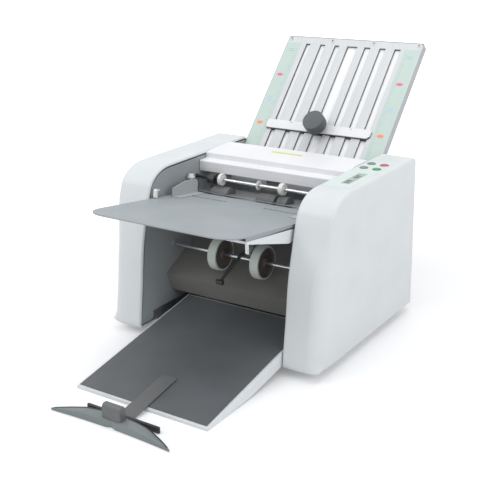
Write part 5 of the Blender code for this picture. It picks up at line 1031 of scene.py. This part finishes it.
def frontStop():
    w = wing
    steps = w["steps"]
    shape = bmesh.new()
    loops = []
    for inset, rise in ((0.0, 0.0), (0.0, 0.45), (0.35, 0.85), (1.0, 1.0)):
        loop = [wingPoint(2 * step / steps - 1, False, inset, rise) for step in range(steps + 1)]
        loop += [wingPoint(1 - 2 * step / steps, True, inset, rise) for step in range(1, steps)]
        loops.append([shape.verts.new(p) for p in loop])
    for near, far in zip(loops, loops[1:]):
        for i in range(len(near)):
            shape.faces.new((near[i - 1], near[i], far[i], far[i - 1]))
    shape.faces.new(loops[0])
    top = loops[-1]
    for step in range(steps):
        # the crown is closed in strips from the front line to the rear one
        c = top[(2 * steps - step - 1) % (2 * steps)] if step + 1 < steps else top[steps]
        d = top[(2 * steps - step) % (2 * steps)] if step > 0 else top[0]
        corners = []
        for v in (top[step], top[step + 1], c, d):
            if v not in corners:
                corners.append(v)
        if len(corners) > 2:
            shape.faces.new(corners)
    bmesh.ops.recalc_face_normals(shape, faces=shape.faces[:])
    finished("frontStopWing", shape, stopAbs, node="front_stop", smooth=40)
    # a black strip along the wings' rear edge: painted shade for the shadow along that edge
    lip = bmesh.new()
    sections = []
    for step in range(1, steps):
        edge = wingPoint(1 - 2 * step / steps, True, 1.0, 1.0)
        sections.append([lip.verts.new(edge + Vector((0, y, z))) for y, z in (
            (w["lipGap"], -w["lipDrop"]), (w["lipGap"], w["lipProud"]), (-w["lip"], w["lipProud"]),
            (-w["lip"], -w["lipDrop"]))])
    for near, far in zip(sections, sections[1:]):
        for i in range(4):
            lip.faces.new((near[i - 1], near[i], far[i], far[i - 1]))
    lip.faces.new(sections[0])
    lip.faces.new(sections[-1])
    bmesh.ops.recalc_face_normals(lip, faces=lip.faces[:])
    finished("frontStopShadeStrip", lip, blackAbs, body="delivery_stop", smooth=40)
    rear = w["tip"] + w["rear"]
    x, floor, tall, length = w["centre"] - 2 * mm, w["blockFloor"], w["blockHigh"], w["blockLong"]
    line = [(-length, floor), (-length * 0.2, floor), (-length * 0.2, tall * 0.8), (-length * 0.4, tall),
            (-length * 0.8, tall), (-length, tall * 0.85)]
    block = sheetOf([(y + rear, z) for y, z in line], x - w["blockHalf"], x + w["blockHalf"])
    finished("frontStopBlock", block, blockAbs, body="delivery_stop", bevel=2.2 * mm, segments=4,
             plane=sidePlane)
    bar = sheetOf(roundedBox(w["centre"] - w["barLeft"], rear + 1.0 * mm, w["centre"] + w["barRight"],
                             rear + 7 * mm, 2.5 * mm), 1 * mm, 12 * mm)
    finished("frontStopBar", bar, blackAbs, body="delivery_stop", bevel=0.8 * mm)
    low, high = w["strap"]
    strap = sheetOf(roundedBox(w["centre"] - w["strapHalf"], low, w["centre"] + w["strapHalf"], high, 4 * mm),
                    0.6 * mm, 2.6 * mm)
    finished("frontStopStrap", strap, blockAbs, body="delivery_stop", bevel=0.5 * mm, plane=trayPlane)


rubberFeet()
skewKnob()
inletPins()
rearScrews()
frontStop()
print("fittings made")


# Stage: floor, light and camera

stage = {
    "camera": (1.0212, -1.51969, 0.8404), "yaw": 34.0, "pitch": 19.9, "roll": -1.3, "lens": 68.1,
    "worldLight": 0.62, "floorGlow": 0.17, "glowFrom": 0.5, "glowTo": 2.0,
    "lamps": (
        ("keyLight", (-1.6, -1.8, 2.6), 1.8, 26),
        ("topLight", (0.2, 0.3, 3.0), 2.4, 30),
        ("fillLight", (2.6, -0.7, 1.3), 1.6, 15),
    ),
}


def seenDirectly(tree):
    # 1 for rays that end in the picture: straight from the camera, or by way of a mirror or glass
    path = addNode(tree, "ShaderNodeLightPath")
    seen = path.outputs["Is Camera Ray"]
    for kind in ("Is Glossy Ray", "Is Transmission Ray"):
        seen = addNode(tree, "ShaderNodeMath", {0: seen, 1: path.outputs[kind]},
                       operation="MAXIMUM").outputs[0]
    return seen


def setFloor():
    # Matt vinyl sheet, lifted to white for camera, mirror and glass rays, so that only the soft shadow shows
    bpy.ops.mesh.primitive_plane_add(size=30, location=(0, 0, 0))
    floor = bpy.context.object
    floor.name = "studioFloor"
    material, tree, shader, place = startMaterial("matteVinylSheet", Roughness=0.4,
                                                  Emission_Color=(1, 1, 1, 1))
    cloud = addNode(tree, "ShaderNodeTexNoise", {"Vector": place, "Scale": 2.5, "Detail": 2.0})
    addNode(tree, "ShaderNodeMix", {0: cloud.outputs["Fac"], 6: linear("#F3F3F4"), 7: linear("#F6F6F7")},
            {2: shader.inputs["Base Color"]}, data_type="RGBA")
    away = addNode(tree, "ShaderNodeVectorMath", {0: place}, operation="LENGTH")
    glow = addNode(tree, "ShaderNodeMapRange", {"Value": away.outputs["Value"], "From Min": stage["glowFrom"],
                                                "From Max": stage["glowTo"], "To Min": stage["floorGlow"],
                                                "To Max": 1.0},
                   interpolation_type="SMOOTHSTEP")
    addNode(tree, "ShaderNodeMath", {0: glow.outputs["Result"], 1: seenDirectly(tree)},
            {0: shader.inputs["Emission Strength"]}, operation="MULTIPLY")
    floor.data.materials.append(material)


def setLight():
    world = bpy.data.worlds.new("studio")
    bpy.context.scene.world = world
    world.use_nodes = True
    tree = world.node_tree
    tree.nodes.clear()
    soft = addNode(tree, "ShaderNodeBackground", {"Color": linear("#F4F6F8"), "Strength": stage["worldLight"]})
    white = addNode(tree, "ShaderNodeBackground", {"Color": (1, 1, 1, 1), "Strength": 1.0})
    both = addNode(tree, "ShaderNodeMixShader", {0: seenDirectly(tree), 1: soft.outputs[0],
                                                 2: white.outputs[0]})
    addNode(tree, "ShaderNodeOutputWorld", {"Surface": both.outputs[0]})
    for name, place, size, power in stage["lamps"]:
        lamp = bpy.data.lights.new(name, "AREA")
        lamp.shape = "DISK"
        lamp.size = size
        lamp.energy = power
        holder = bpy.data.objects.new(name, lamp)
        bpy.context.scene.collection.objects.link(holder)
        holder.location = place
        holder.rotation_euler = (Vector((0, 0, 0.2)) - Vector(place)).to_track_quat("-Z", "Y").to_euler()


def setCamera():
    a, e, r = (math.radians(stage[key]) for key in ("yaw", "pitch", "roll"))
    ahead = Vector((-math.sin(a) * math.cos(e), math.cos(a) * math.cos(e), -math.sin(e)))
    right = Vector((math.cos(a), math.sin(a), 0))
    up = right.cross(ahead)
    tiltedRight = right * math.cos(r) + up * math.sin(r)
    tiltedUp = up * math.cos(r) - right * math.sin(r)
    camera = bpy.data.cameras.new("studioCamera")
    camera.lens = stage["lens"]
    camera.sensor_width = 36
    holder = bpy.data.objects.new("studioCamera", camera)
    bpy.context.scene.collection.objects.link(holder)
    turn = Matrix((tiltedRight, tiltedUp, -ahead)).transposed()
    holder.matrix_world = Matrix.Translation(stage["camera"]) @ turn.to_4x4()
    bpy.context.scene.camera = holder


setFloor()
setLight()
setCamera()
bpy.context.scene.view_settings.view_transform = "Standard"
print("stage set")
